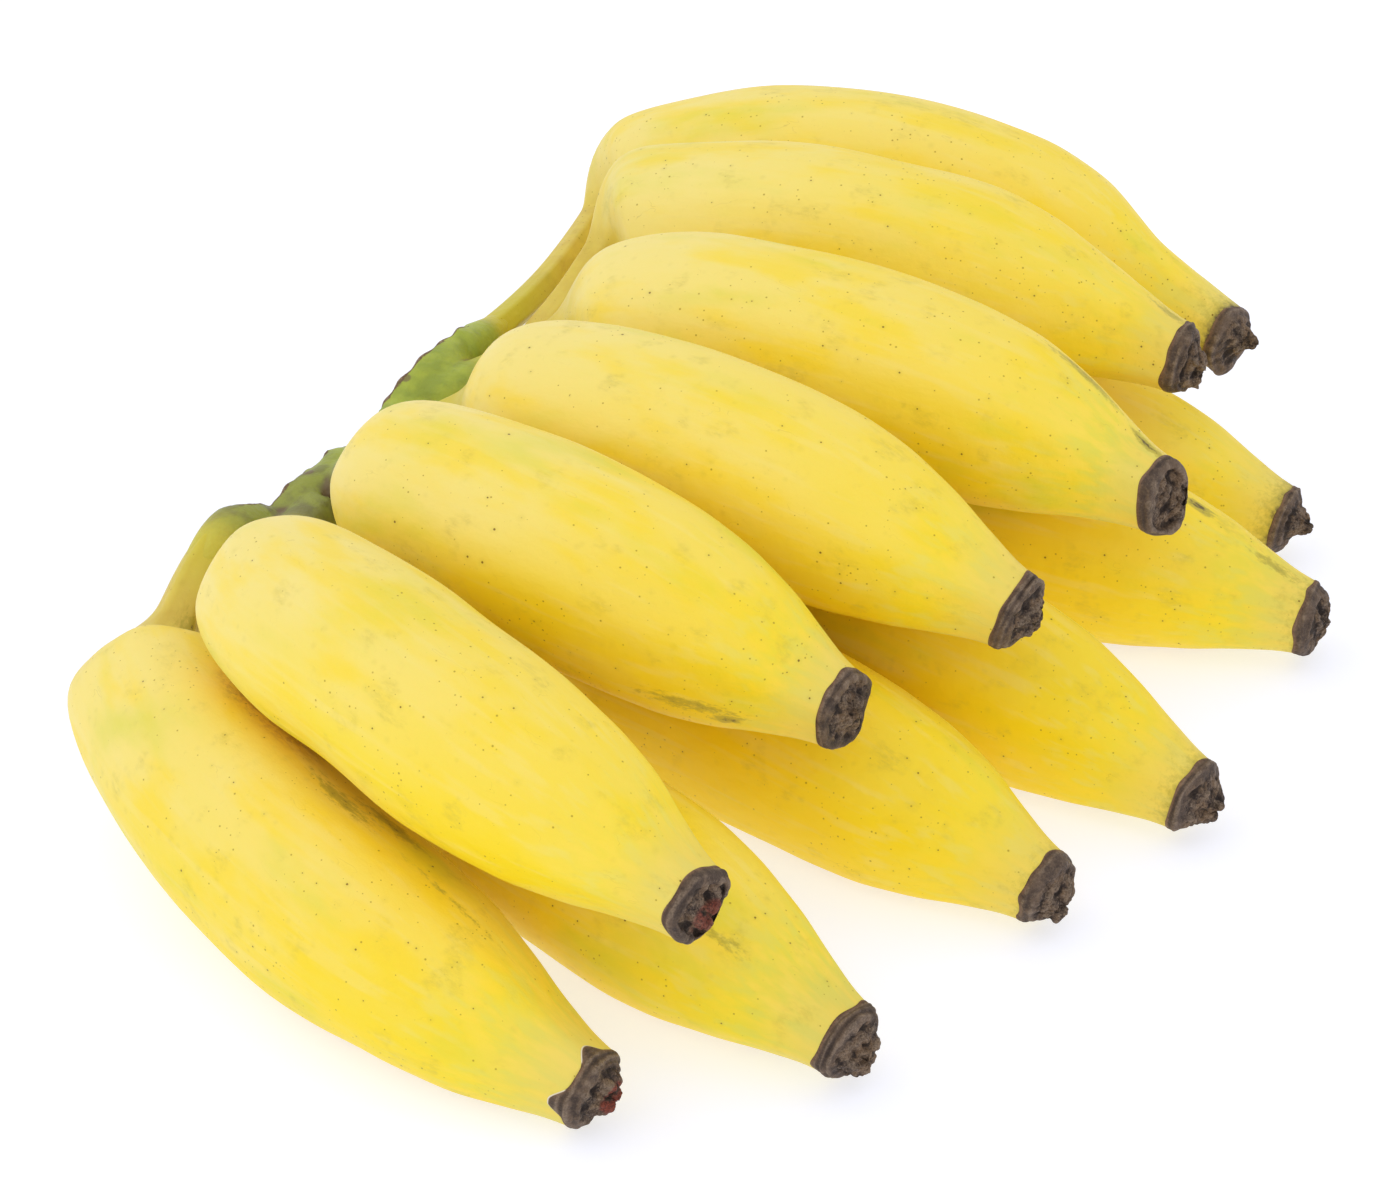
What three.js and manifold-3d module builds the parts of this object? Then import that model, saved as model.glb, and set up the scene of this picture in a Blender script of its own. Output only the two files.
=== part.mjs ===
// A hand of twelve small, plump bananas that lies on a flat surface.
//
// Frame: millimetres, +Z up. The surface is z = 0, +X runs from the crown towards the blossom ends
// and +Y runs across the hand. The upper row of six fingers rests on a lower row of six. Each finger
// is one solid, from the root of its pedicel to the flat scar at its blossom end. The dry blossom end
// is a solid of its own, and so is the crown that all the pedicels grow from.

import * as THREE from 'three';
import { mergeVertices } from 'three/addons/utils/BufferGeometryUtils.js';
import Module from 'manifold-3d';

const wasm = await Module();
wasm.setup();

// ---- Driving dimensions ----

const GAP = 0.3; // clearance that separate solids keep where they meet
const FINGER_SIDES = 14;
const PEDICEL_STEP = 7; // longest stretch of pedicel between two rings
const KNEE_REACH = 10; // how far before the knee a pedicel starts to turn into its fruit
const KNEE_REACH_MOST = 0.7; // of the way from the knee back to the pedicel's pull
const SHOULDER_REACH = 16; // how far past the knee the fruit has finished turning
const KNEE_BLEND = 0.05; // share of a fruit's length over which its pedicel widens
const RIDGES = 5; // a banana has five faces, so five soft ridges
const RIDGE_HEIGHT = 0.012; // of the radius
const NECK_AT = 0.86; // where a fruit's neck is narrowest, as a share of its length
const NECK_SPREAD = 0.1;
const SHOULDER_SPREAD = 0.12; // share of a fruit's length over which a fuller shoulder dies out

// Half of the girth along a fruit: share of its length from the knee, share of its greatest radius.
const FRUIT_PROFILE = [
  [0, 0.56], [0.03, 0.72], [0.07, 0.84], [0.13, 0.925], [0.22, 0.98], [0.38, 1], [0.54, 0.985],
  [0.64, 0.95], [0.74, 0.87], [0.84, 0.71], [0.91, 0.54], [0.96, 0.43], [1, 0.39],
];
const SCAR_RADIUS = 0.39; // of the greatest radius, where the dry blossom end starts

// The dry blossom end, from the scar outwards: share of the scar's radius, distance in mm.
const BLOSSOM_PROFILE = [
  [1.0, 0], [0.97, 1], [0.86, 2], [0.68, 3], [0.5, 3.8], [0.38, 4.5], [0.28, 5],
];
const BLOSSOM_SIDES = 12;

// The fingers. root: middle of the pedicel's end, sunk in the crown. via: where the pedicel is
// pulled to on its way. knee: where it turns into the fruit. tip: middle of the scar. bow and sway:
// how far the fruit arches up and sideways (towards +Y) off a straight line. full: how far the
// shoulder is raised from the common profile, where 1 would reach the greatest radius. neck: how much
// thinner the neck is.
const FINGERS = {
  finger_upper_1: {
    root: [-76.5, 20.8, 44], via: [-77.5, 50.8, 38.5], knee: [-92.5, 103.8, 35], tip: [39.6, 121.9, 31.4],
    bow: 13.2, sway: 4.5, girth: 37.5, pedicel: 5.8, full: 0.45, neck: 0.32,
  },
  finger_upper_2: {
    root: [-73.5, 11.8, 35], via: [-70.5, 43.8, 38], knee: [-73, 73.3, 47.5], tip: [43, 91.4, 42.9],
    bow: 7.3, sway: 0, girth: 37, pedicel: 6, full: 0.35, neck: 0.1,
  },
  finger_upper_3: {
    root: [-72.5, 5.8, 41], via: [-65.5, 19.8, 45], knee: [-56.5, 34.8, 50], tip: [63.4, 41.9, 43.5],
    bow: 8, sway: -1, girth: 38, pedicel: 7,
  },
  finger_upper_4: {
    root: [-72.5, -9.2, 36], via: [-65.5, -7.2, 44], knee: [-53.5, -4.2, 53], tip: [58.7, -8.2, 44.7],
    bow: 7, sway: -2, girth: 38, pedicel: 8,
  },
  finger_upper_5: {
    root: [-72.5, -22.2, 37], via: [-66.5, -28.2, 45], knee: [-56.5, -40.2, 54], tip: [47, -50.1, 43.5],
    bow: 7.5, sway: -5, girth: 38, pedicel: 8, full: 0.2,
  },
  finger_upper_6: {
    root: [-71.5, -34.2, 37], via: [-69.5, -56.2, 40], knee: [-56.5, -79, 52.8], tip: [53.4, -112.5, 42.5],
    bow: 6.3, sway: -5.2, girth: 36.6, pedicel: 8, full: 0.25,
  },
  finger_lower_1: {
    root: [-79, -44.2, 36], via: [-79.3, -52.7, 48.5], knee: [-80.3, -77.2, 23], tip: [41, -126.2, 9],
    bow: 3.5, sway: -10.3, girth: 38, pedicel: 8.6, full: 0.7,
  },
  finger_lower_2: {
    root: [-73.5, -34.2, 26], via: [-63.5, -46.2, 26], knee: [-44.5, -61.2, 18.5], tip: [72.1, -93.6, 9.3],
    bow: 3.5, sway: -2, girth: 37, pedicel: 8,
  },
  finger_lower_3: {
    root: [-72.5, -22.2, 24], via: [-58.5, -22.2, 26], knee: [-38.5, -19.2, 18], tip: [80.7, -36.4, 9.3],
    bow: 3.5, sway: 0, girth: 37.5, pedicel: 8,
  },
  finger_lower_4: {
    root: [-72.5, -9.2, 22], via: [-56.5, -2.2, 26], knee: [-29.5, 17.8, 18], tip: [90.7, 2.6, 9.3],
    bow: 3.5, sway: 1, girth: 37.5, pedicel: 8, neck: 0.05,
  },
  finger_lower_5: {
    root: [-72.5, 3.8, 25], via: [-58.5, 19.8, 26], knee: [-34.5, 51.8, 18], tip: [83.8, 67.2, 9.3],
    bow: 3.5, sway: -2, girth: 37, pedicel: 8,
  },
  finger_lower_6: {
    root: [-73.5, 18.8, 28], via: [-67.5, 45.8, 23], knee: [-50.5, 86.8, 15.4], tip: [64.6, 97.9, 9.3],
    bow: 3.5, sway: 1, girth: 34.5, pedicel: 7.2,
  },
};

// The crown: a curved bar that follows the pedicels' roots, with its cut face at the back. Its tissue
// runs out along each pedicel as a sleeve that grows thinner.
const CROWN_LINE = [
  [-77.5, -45.2, 33], [-75.5, -28.2, 31], [-74.5, -12.2, 28],
  [-75.5, 1.8, 31], [-76.5, 13.8, 38], [-78.5, 27.8, 36],
];
const CROWN_DEPTH = 18;
const CROWN_HEIGHT = 27;
const CROWN_SIDES = 18;
const CROWN_RINGS = 16;
const CROWN_BLUNTNESS = 5; // 2 would make the bar's ends elliptical, more makes them blunter
const CROWN_CUT_AT = 6; // from the crown's middle line back to the cut face
const CROWN_CUT_TILT = THREE.MathUtils.degToRad(12);

const SLEEVE_START = 1.5; // distances from the pedicel's root
const SLEEVE_END = 17;
const SLEEVE_THICKEST = 2.6; // its thickness at the root
const SLEEVE_THINNEST = 1.1; // its thickness where it ends, gap and wall together
const SLEEVE_RINGS = 3;

const SOCKET_GAP = 0.6; // clearance round a pedicel and behind its root
const SOCKET_SIDES = 14;

const FAR = 400; // larger than the whole hand, for the boxes that cut it
const SLIVER = 0.05; // features smaller than this are dropped where solids are cut or joined
const SAME_PLACE = 1e-4; // vertices closer than this are one

const UP = new THREE.Vector3(0, 0, 1);
const TURNING_AXIS = new THREE.Vector3(0, 1, 0); // of three.js' lathes and cylinders

// ---- Materials ----

const peel = new THREE.MeshStandardMaterial({ color: 0xf2d548, roughness: 0.5, metalness: 0 });
const dryBlossom = new THREE.MeshStandardMaterial({ color: 0x4a3c35, roughness: 0.85, metalness: 0 });
const crownSkin = new THREE.MeshStandardMaterial({ color: 0x8fa43c, roughness: 0.6, metalness: 0 });

// ---- Shared geometry ----

const vector = (point) => new THREE.Vector3(...point);

/** Merge shared vertices and drop the faces that merging made empty. */
function weld(geometry) {
  const bare = geometry.clone();
  bare.deleteAttribute('normal');
  bare.deleteAttribute('uv');
  const merged = mergeVertices(bare, SAME_PLACE);
  const faces = merged.index.array;
  const kept = [];
  for (let i = 0; i < faces.length; i += 3) {
    const [a, b, c] = faces.slice(i, i + 3);
    if (a !== b && b !== c && c !== a) kept.push(a, b, c);
  }
  merged.setIndex(kept);
  return merged;
}

/** The manifold solid of a closed geometry. */
function solidOf(geometry) {
  const merged = weld(geometry);
  return new wasm.Manifold(new wasm.Mesh({
    numProp: 3,
    vertProperties: new Float32Array(merged.attributes.position.array),
    triVerts: new Uint32Array(merged.index.array),
  }));
}

/** The geometry of a manifold solid, without its slivers. */
function geometryOf(solid) {
  const mesh = solid.simplify(SLIVER).getMesh();
  const geometry = new THREE.BufferGeometry();
  geometry.setAttribute('position', new THREE.BufferAttribute(mesh.vertProperties, 3));
  geometry.setIndex(new THREE.BufferAttribute(mesh.triVerts, 1));
  return geometry;
}

/** Everything above the plane z = 0. */
const spaceAboveFloor = () => solidOf(new THREE.BoxGeometry(FAR, FAR, FAR).translate(0, 0, FAR / 2));

/** A bell curve: 1 at the middle, falling off over the spread. */
const bell = (x, middle, spread) => Math.exp(-(((x - middle) / spread) ** 2));

/** A closed turned solid whose axis is +Y, through points of [radius, height]. */
function turned(outline, sides) {
  const bottom = outline[0][1];
  const top = outline[outline.length - 1][1];
  const closed = [[0, bottom], ...outline, [0, top]];
  return new THREE.LatheGeometry(closed.map(([r, h]) => new THREE.Vector2(r, h)), sides);
}

/** Bend a turned solid so that its +Y axis follows a line, with one side kept level. */
function bendAlong(geometry, line, ridgeAt = () => 1) {
  const length = line.getLength();
  const position = geometry.attributes.position;
  const vertex = new THREE.Vector3();
  for (let i = 0; i < position.count; i += 1) {
    vertex.fromBufferAttribute(position, i);
    const share = THREE.MathUtils.clamp(vertex.y / length, 0, 1);
    const tangent = line.getTangent(share);
    const side = UP.clone().cross(tangent).normalize();
    const down = side.clone().cross(tangent).normalize();
    const ridge = ridgeAt(Math.atan2(vertex.z, vertex.x), share);
    const bent = line.getPoint(share);
    bent.addScaledVector(side, vertex.x * ridge);
    bent.addScaledVector(down, vertex.z * ridge);
    position.setXYZ(i, bent.x, bent.y, bent.z);
  }
  return geometry;
}

// ---- A finger ----

/** The middle line of a finger: pedicel, knee and arched fruit, each a quadratic curve. */
function fingerLine(finger) {
  const [root, via, knee, tip] = [finger.root, finger.via, finger.knee, finger.tip].map(vector);
  const along = tip.clone().sub(knee).normalize();
  const side = UP.clone().cross(along).normalize();
  const rise = along.clone().cross(side);
  const crest = knee.clone().add(tip).multiplyScalar(0.5);
  crest.addScaledVector(rise, 2 * finger.bow).addScaledVector(side, 2 * finger.sway);
  const kneeReach = Math.min(KNEE_REACH, KNEE_REACH_MOST * knee.distanceTo(via));
  const before = knee.clone().lerp(via, kneeReach / knee.distanceTo(via));
  const after = knee.clone().lerp(crest, SHOULDER_REACH / knee.distanceTo(crest));
  const line = new THREE.CurvePath();
  line.add(new THREE.QuadraticBezierCurve3(root, via, before));
  line.add(new THREE.QuadraticBezierCurve3(before, knee, after));
  line.add(new THREE.QuadraticBezierCurve3(after, crest, tip));
  return line;
}

/** How far along its middle line a finger's fruit starts. */
function fruitStart(line) {
  const [pedicel, knee] = line.curves;
  return pedicel.getLength() + knee.getLength() / 2;
}

/** Distances along the middle line at which a pedicel has a ring, from its root to its widening. */
function pedicelStations(finger, line) {
  const start = fruitStart(line);
  const thin = start - KNEE_BLEND * (line.getLength() - start);
  const steps = Math.ceil(thin / PEDICEL_STEP);
  return Array.from({ length: steps + 1 }, (_, i) => (thin * i) / steps);
}

/** The finger's outline as [radius, distance along the middle line]. */
function fingerOutline(finger, line) {
  const start = fruitStart(line);
  const fruit = line.getLength() - start;
  const outline = pedicelStations(finger, line).map((along) => [finger.pedicel / 2, along]);
  outline[0][1] = SOCKET_GAP;
  for (const [share, girth] of FRUIT_PROFILE) {
    const shoulder = girth ** (1 - (finger.full ?? 0) * bell(share, 0, SHOULDER_SPREAD));
    const neck = 1 - (finger.neck ?? 0) * bell(share, NECK_AT, NECK_SPREAD);
    outline.push([(shoulder * neck * finger.girth) / 2, start + share * fruit]);
  }
  return outline;
}

/** A finger's solid: the outline turned, then bent along the middle line. */
function fingerGeometry(finger) {
  const line = fingerLine(finger);
  const ridgeAt = (angle) => 1 + RIDGE_HEIGHT * Math.cos(RIDGES * angle);
  return bendAlong(turned(fingerOutline(finger, line), FINGER_SIDES), line, ridgeAt);
}

// ---- A dry blossom end ----

/** The radius of a finger's scar. */
const scarRadius = (finger) => (SCAR_RADIUS * finger.girth * (1 - (finger.neck ?? 0)
  * bell(1, NECK_AT, NECK_SPREAD))) / 2;

/** The dry blossom end, standing on its own base with +Y outwards. */
function blossomGeometry(finger) {
  const radius = scarRadius(finger);
  return turned(BLOSSOM_PROFILE.map(([share, out]) => [share * radius, out]), BLOSSOM_SIDES);
}

// ---- The crown ----

/** The crown before its sockets are cut: a bent, flattened bar with rounded ends. */
function crownBar() {
  const line = new THREE.CatmullRomCurve3(CROWN_LINE.map(vector));
  const length = line.getLength();
  const outline = [];
  for (let i = 1; i < CROWN_RINGS; i += 1) {
    const share = i / CROWN_RINGS;
    const end = Math.abs(2 * share - 1) ** CROWN_BLUNTNESS;
    outline.push([Math.sqrt(1 - end), share * length]);
  }
  const bar = turned(outline, CROWN_SIDES);
  bar.scale(CROWN_DEPTH / 2, 1, CROWN_HEIGHT / 2);
  return bendAlong(bar, line);
}

/** The half-space in front of the crown's cut face. */
function spaceBeforeCut() {
  const box = new THREE.BoxGeometry(FAR, FAR, FAR).translate(FAR / 2, 0, 0);
  const [x, , z] = CROWN_LINE[Math.floor(CROWN_LINE.length / 2)];
  return solidOf(box.rotateY(CROWN_CUT_TILT).translate(x - CROWN_CUT_AT, 0, z));
}

/** The hole in the crown that a finger's pedicel sits in, with clearance all round. */
function socket(finger) {
  const line = fingerLine(finger);
  const stations = pedicelStations(finger, line);
  return solidOf(bendAlong(turned(stations.map((along) => [
    finger.pedicel / 2 + SOCKET_GAP, along,
  ]), SOCKET_SIDES), line));
}

/** The crown's tissue round the start of a finger's pedicel: a tube that grows thinner outwards. */
function sleeve(finger) {
  const outline = [];
  for (let i = 0; i <= SLEEVE_RINGS; i += 1) {
    const share = i / SLEEVE_RINGS;
    const radius = finger.pedicel / 2 + THREE.MathUtils.lerp(SLEEVE_THICKEST, SLEEVE_THINNEST, share);
    outline.push([radius, THREE.MathUtils.lerp(SLEEVE_START, SLEEVE_END, share)]);
  }
  return solidOf(bendAlong(turned(outline, SOCKET_SIDES), fingerLine(finger)));
}

/** The crown's solid: the bar, cut flat at the back, with a sleeve and a socket for each pedicel. */
function crownGeometry() {
  const fingers = Object.values(FINGERS);
  const cutBar = solidOf(crownBar()).intersect(spaceBeforeCut());
  const sleeved = fingers.reduce((solid, finger) => solid.add(sleeve(finger)), cutBar);
  return geometryOf(fingers.reduce((solid, finger) => solid.subtract(socket(finger)), sleeved));
}

// ---- The scene graph ----

/** A named mesh, shaded from its own faces. */
function piece(name, geometry, material) {
  geometry.computeVertexNormals();
  const mesh = new THREE.Mesh(geometry, material);
  mesh.name = name;
  return mesh;
}

/** A finger's fruit and pedicel. */
function fingerPiece(name, finger) {
  const bent = fingerGeometry(finger);
  const rests = name.startsWith('finger_lower');
  const geometry = rests ? geometryOf(solidOf(bent).intersect(spaceAboveFloor())) : weld(bent);
  return piece(name, geometry, peel);
}

/** A finger's dry blossom end, standing on the scar with a hair of clearance. */
function blossomPiece(name, finger) {
  const outwards = fingerLine(finger).getTangent(1);
  const mesh = piece(name.replace('finger', 'blossom_end'), weld(blossomGeometry(finger)), dryBlossom);
  mesh.position.copy(vector(finger.tip)).addScaledVector(outwards, GAP);
  mesh.quaternion.setFromUnitVectors(TURNING_AXIS, outwards);
  return mesh;
}

const hand = new THREE.Group();
hand.name = 'banana_hand';
hand.add(piece('crown', crownGeometry(), crownSkin));
for (const [name, finger] of Object.entries(FINGERS)) {
  hand.add(fingerPiece(name, finger), blossomPiece(name, finger));
}

export default hand;
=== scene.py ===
"""A hand of twelve small, plump bananas on one cut crown, lying on a pale floor.

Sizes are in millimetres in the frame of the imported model: the floor is z = 0, +X runs from the crown
towards the blossom ends and +Y runs across the hand. A mesh's points become metres as it is made.
"""

import logging
import math
from dataclasses import dataclass, field
from enum import Enum
from typing import Any, ClassVar

import bpy
import numpy as np
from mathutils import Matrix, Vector


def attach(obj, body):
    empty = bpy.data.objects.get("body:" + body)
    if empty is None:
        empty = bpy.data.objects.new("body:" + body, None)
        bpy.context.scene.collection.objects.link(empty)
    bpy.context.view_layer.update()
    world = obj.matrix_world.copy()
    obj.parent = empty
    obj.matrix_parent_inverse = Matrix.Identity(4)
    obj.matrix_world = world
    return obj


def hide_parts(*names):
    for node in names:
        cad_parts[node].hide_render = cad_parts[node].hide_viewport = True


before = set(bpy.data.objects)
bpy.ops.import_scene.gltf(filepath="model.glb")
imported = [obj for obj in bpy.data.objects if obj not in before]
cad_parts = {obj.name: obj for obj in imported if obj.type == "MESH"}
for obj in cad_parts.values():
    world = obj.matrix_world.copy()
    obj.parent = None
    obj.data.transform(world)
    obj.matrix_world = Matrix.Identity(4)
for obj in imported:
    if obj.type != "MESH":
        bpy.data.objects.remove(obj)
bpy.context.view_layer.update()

log = logging.getLogger("banana_hand")

Point = tuple[float, float, float]
Colour = tuple[float, float, float, float]
Socket = Any  # a node socket, or the plain number, vector or colour that one is set to

MM = 0.001
TURN = 2 * math.pi
UP = np.array([0.0, 0.0, 1.0])
BODY = "root"


class Slot(Enum):
    """The record's material slots."""

    PEEL = "peel"
    DRY_BLOSSOM = "dry_blossom"
    CROWN_SKIN = "crown_skin"


class BlossomForm(Enum):
    """The ways in which the remains of a flower have dried on a finger's tip."""

    CONE = "cone"
    DISC = "disc"
    FOLD = "fold"
    POINT = "point"


# ---- Numbers and surfaces ----


def unit(vectors: np.ndarray) -> np.ndarray:
    """Each vector divided by its length."""
    return vectors / np.linalg.norm(vectors, axis=-1, keepdims=True)


def bell(value: np.ndarray, middle: float, spread: float) -> np.ndarray:
    """exp(-((value - middle) / spread)^2): 1 at the middle and falling off on both sides."""
    return np.exp(-(((value - middle) / spread) ** 2))


def rise(value: np.ndarray, low: float, high: float) -> np.ndarray:
    """0 below low, 1 above high and 3 t^2 - 2 t^3 between them."""
    t = np.clip((value - low) / (high - low), 0, 1)
    return t * t * (3 - 2 * t)


def fall(value: np.ndarray, high: float, low: float) -> np.ndarray:
    """1 below low, 0 above high and smooth between them: rise turned round."""
    return rise(-value, -high, -low)


def above(value: np.ndarray, ease: float) -> np.ndarray:
    """The larger of value and 0, rounded where they meet: (v + sqrt(v^2 + ease^2)) / 2."""
    return (value + np.sqrt(value**2 + ease**2)) / 2


def turned_from(angle: np.ndarray, middle: float) -> np.ndarray:
    """How far angles are from a middle one, from minus half a turn to half a turn."""
    return (angle - middle + math.pi) % TURN - math.pi


def soften(rows: np.ndarray, spread: float) -> np.ndarray:
    """Average each row with its neighbours, and keep the first and last rows.

    Row i becomes the sum over k of row i + k times exp(-(k / spread)^2 / 2), divided by the sum of the
    weights. Past an end the rows go on as their mirror image through the end row.

    Args:
        rows: an array of rows and columns.
        spread: the bell's width, in rows.

    Returns:
        The averaged rows, as many as before.
    """
    reach = int(3 * spread) + 1
    weights = np.exp(-0.5 * (np.arange(-reach, reach + 1) / spread) ** 2)
    weights /= weights.sum()
    before = 2 * rows[:1] - rows[reach:0:-1]
    after = 2 * rows[-1:] - rows[-2 : -reach - 2 : -1]
    padded = np.concatenate([before, rows, after])
    return np.stack([np.convolve(column, weights, mode="valid") for column in padded.T], axis=1)


def quadratic(start: np.ndarray, pull: np.ndarray, end: np.ndarray, count: int = 200) -> np.ndarray:
    """Points (1 - t)^2 start + 2 t (1 - t) pull + t^2 end, evenly spaced in t."""
    t = np.linspace(0, 1, count)[:, None]
    return (1 - t) ** 2 * start + 2 * t * (1 - t) * pull + t**2 * end


def lengths_along(points: np.ndarray) -> np.ndarray:
    """The distance of each point from the first, along the line through them."""
    steps = np.linalg.norm(np.diff(points, axis=0), axis=1)
    return np.concatenate([[0], np.cumsum(steps)])


def columns_at(places: np.ndarray, known: np.ndarray, rows: np.ndarray) -> np.ndarray:
    """The rows, given at known places, interpolated straight at other places."""
    return np.stack([np.interp(places, known, column) for column in rows.T], axis=-1)


def grid_normals(points: np.ndarray) -> np.ndarray:
    """Outward normals of a tube's rings of points: the way along it x the way round it.

    Args:
        points: rings of points, rings by sides by 3.

    Returns:
        A normal of length 1 for each point.
    """
    along = np.gradient(points, axis=0)
    around = np.roll(points, -1, axis=1) - np.roll(points, 1, axis=1)
    normal = np.cross(along, around)
    return normal / np.maximum(np.linalg.norm(normal, axis=-1, keepdims=True), 1e-9)


@dataclass(frozen=True)
class Crumple:
    """Rounded folds with sharp creases between them: plane waves through space, folded at 0.

    Its height is (|sin(p . k + phase)| - 2 / pi) / sqrt(count), summed over the waves and times the
    given height, where k is a wave's direction times pi / size.
    """

    count: int
    sizes: tuple[float, float]  # smallest and largest distance between creases
    height: float

    def over(self, points: np.ndarray, draw: np.random.Generator) -> np.ndarray:
        """Heights at points, with drawn directions, sizes and phases.

        Args:
            points: points in space.
            draw: where random numbers come from.

        Returns:
            A height for each point.
        """
        direction = unit(draw.normal(size=(self.count, 3)))
        size = draw.uniform(*self.sizes, self.count)[:, None]
        phase = draw.uniform(0, TURN, self.count)
        folded = np.abs(np.sin(points @ (direction * math.pi / size).T + phase)) - 2 / math.pi
        return self.height * folded.sum(-1) / math.sqrt(self.count)


@dataclass(frozen=True)
class Waves:
    """Smooth unevenness of a tube's surface: waves that run round it and along it.

    Its height is sqrt(2 / count) times the sum over the waves of cos(order * angle + 2 pi * distance /
    length + phase), times the given height.
    """

    count: int
    orders: tuple[int, int]  # fewest and most humps round the tube
    lengths: tuple[float, float]  # shortest and longest wave along it
    height: float  # root mean square

    def over(self, angle: np.ndarray, distance: np.ndarray, draw: np.random.Generator) -> np.ndarray:
        """Heights at angles round the tube and distances along it, with drawn orders and phases.

        Args:
            angle: angles, of any shape.
            distance: distances, of the same shape.
            draw: where random numbers come from.

        Returns:
            Heights of the same shape.
        """
        order = draw.integers(self.orders[0], self.orders[1] + 1, self.count)
        length = draw.uniform(*self.lengths, self.count) * draw.choice([-1, 1], self.count)
        phase = draw.uniform(0, TURN, self.count)
        turns = angle[..., None] * order + TURN * distance[..., None] / length + phase
        return self.height * math.sqrt(2 / self.count) * np.cos(turns).sum(-1)


@dataclass
class Line:
    """A line through space with a level sideways direction: the middle line of a tube.

    side is UP x tangent and down is side x tangent, each of length 1. bend is the tangent's change per
    millimetre.
    """

    points: np.ndarray
    distances: np.ndarray = field(init=False)
    tangents: np.ndarray = field(init=False)
    bends: np.ndarray = field(init=False)

    STEP: ClassVar[float] = 0.5
    SPREAD: ClassVar[float] = 2.0  # length over which the points are averaged
    BEND_SPREAD: ClassVar[float] = 1.5  # and the bends
    CROWDED: ClassVar[float] = 0.85  # share of the inner side's offsets that is drawn in gradually

    def __post_init__(self) -> None:
        """Space the points evenly, round the line slightly and find its tangents and bends."""
        rough = lengths_along(self.points)
        places = np.arange(0, rough[-1], self.STEP)
        self.points = soften(columns_at(places, rough, self.points), self.SPREAD / self.STEP)
        self.distances = lengths_along(self.points)
        self.tangents = unit(np.gradient(self.points, self.distances, axis=0))
        bends = np.gradient(self.tangents, self.distances, axis=0)
        self.bends = soften(bends, self.BEND_SPREAD / self.STEP)

    @property
    def length(self) -> float:
        """The line's length."""
        return float(self.distances[-1])

    def frames(self, places: np.ndarray) -> tuple[np.ndarray, ...]:
        """Points, tangents, sides, downs and bends at distances along the line.

        Args:
            places: the distances.

        Returns:
            Five arrays with a row for each distance.
        """
        point, tangent, bend = (
            columns_at(places, self.distances, rows) for rows in (self.points, self.tangents, self.bends)
        )
        tangent = unit(tangent)
        side = unit(np.cross(UP, tangent))
        return point, tangent, side, np.cross(side, tangent), bend

    def tube(self, places: np.ndarray, across: np.ndarray, below: np.ndarray) -> np.ndarray:
        """Rings of points round the line, with the inner side of a sharp bend drawn in.

        A point is line + across * side + below * down. Where the line bends towards a point, its share
        h = offset . bend of the bend's radius becomes c h / (1 + h^4)^(1/4) + (1 - c) min(h, 1/2),
        where c is CROWDED, so rings don't cross.

        Args:
            places: distances along the line, one a ring.
            across: each ring's offsets towards side, rings by sides.
            below: each ring's offsets towards down, rings by sides.

        Returns:
            The points, rings by sides by 3.
        """
        point, _, side, down, bend = self.frames(places)
        offset = across[..., None] * side[:, None] + below[..., None] * down[:, None]
        inward = np.maximum((offset * bend[:, None]).sum(-1), 0)
        eased = self.CROWDED * inward / (1 + inward**4) ** 0.25
        eased += (1 - self.CROWDED) * np.minimum(inward, 0.5)
        change = np.where(inward > 0, eased - inward, 0)
        square = np.maximum((bend**2).sum(-1), 1e-9)[:, None]
        return point[:, None] + offset + (change / square)[..., None] * bend[:, None]


def ring_angles(sides: int) -> np.ndarray:
    """Evenly spaced angles round a ring."""
    return np.arange(sides) * TURN / sides


def ring_grid(values: np.ndarray, sides: int) -> tuple[np.ndarray, np.ndarray]:
    """Each ring's value and each side's angle, both rings by sides."""
    value, angle = np.meshgrid(values, ring_angles(sides), indexing="ij")
    return value, angle


def tube_faces(rings: int, sides: int) -> list[list[int]]:
    """Faces of a closed tube: quads between its rings and a fan at each end.

    Point j of ring i has number i * sides + j, and the two ends' middle points come last. With rings
    laid by Line.tube, every face points outwards.

    Args:
        rings: how many rings there are.
        sides: how many points each has.

    Returns:
        Each face's point numbers.
    """
    i, j = np.meshgrid(np.arange(rings - 1), np.arange(sides), indexing="ij")
    k = (j + 1) % sides
    quads = np.stack([i * sides + j, (i + 1) * sides + j, (i + 1) * sides + k, i * sides + k], -1)
    j = np.arange(sides)
    k = (j + 1) % sides
    first = np.full(sides, rings * sides)
    last_ring = (rings - 1) * sides
    start_fan = np.stack([first, j, k], -1)
    end_fan = np.stack([first + 1, last_ring + k, last_ring + j], -1)
    return [*quads.reshape(-1, 4).tolist(), *start_fan.tolist(), *end_fan.tolist()]


def with_middles(rows: np.ndarray) -> np.ndarray:
    """Rings of values as one list, followed by the means of the first and of the last ring."""
    flat = rows.reshape(-1, *rows.shape[2:])
    return np.concatenate([flat, rows[:1].mean(1), rows[-1:].mean(1)])


def new_object(name: str, data: bpy.types.ID) -> bpy.types.Object:
    """A new object, put into the scene.

    Args:
        name: its name.
        data: its mesh, light or camera.

    Returns:
        The object.
    """
    made = bpy.data.objects.new(name, data)
    bpy.context.scene.collection.objects.link(made)
    return made


def new_mesh(name: str, points: np.ndarray, faces: list[list[int]]) -> bpy.types.Mesh:
    """A smooth-shaded mesh of points in millimetres.

    Args:
        name: its name.
        points: its points.
        faces: each face's point numbers.

    Returns:
        The mesh.
    """
    mesh = bpy.data.meshes.new(name)
    mesh.from_pydata((points * MM).tolist(), [], faces)
    mesh.shade_smooth()
    return mesh


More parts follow.
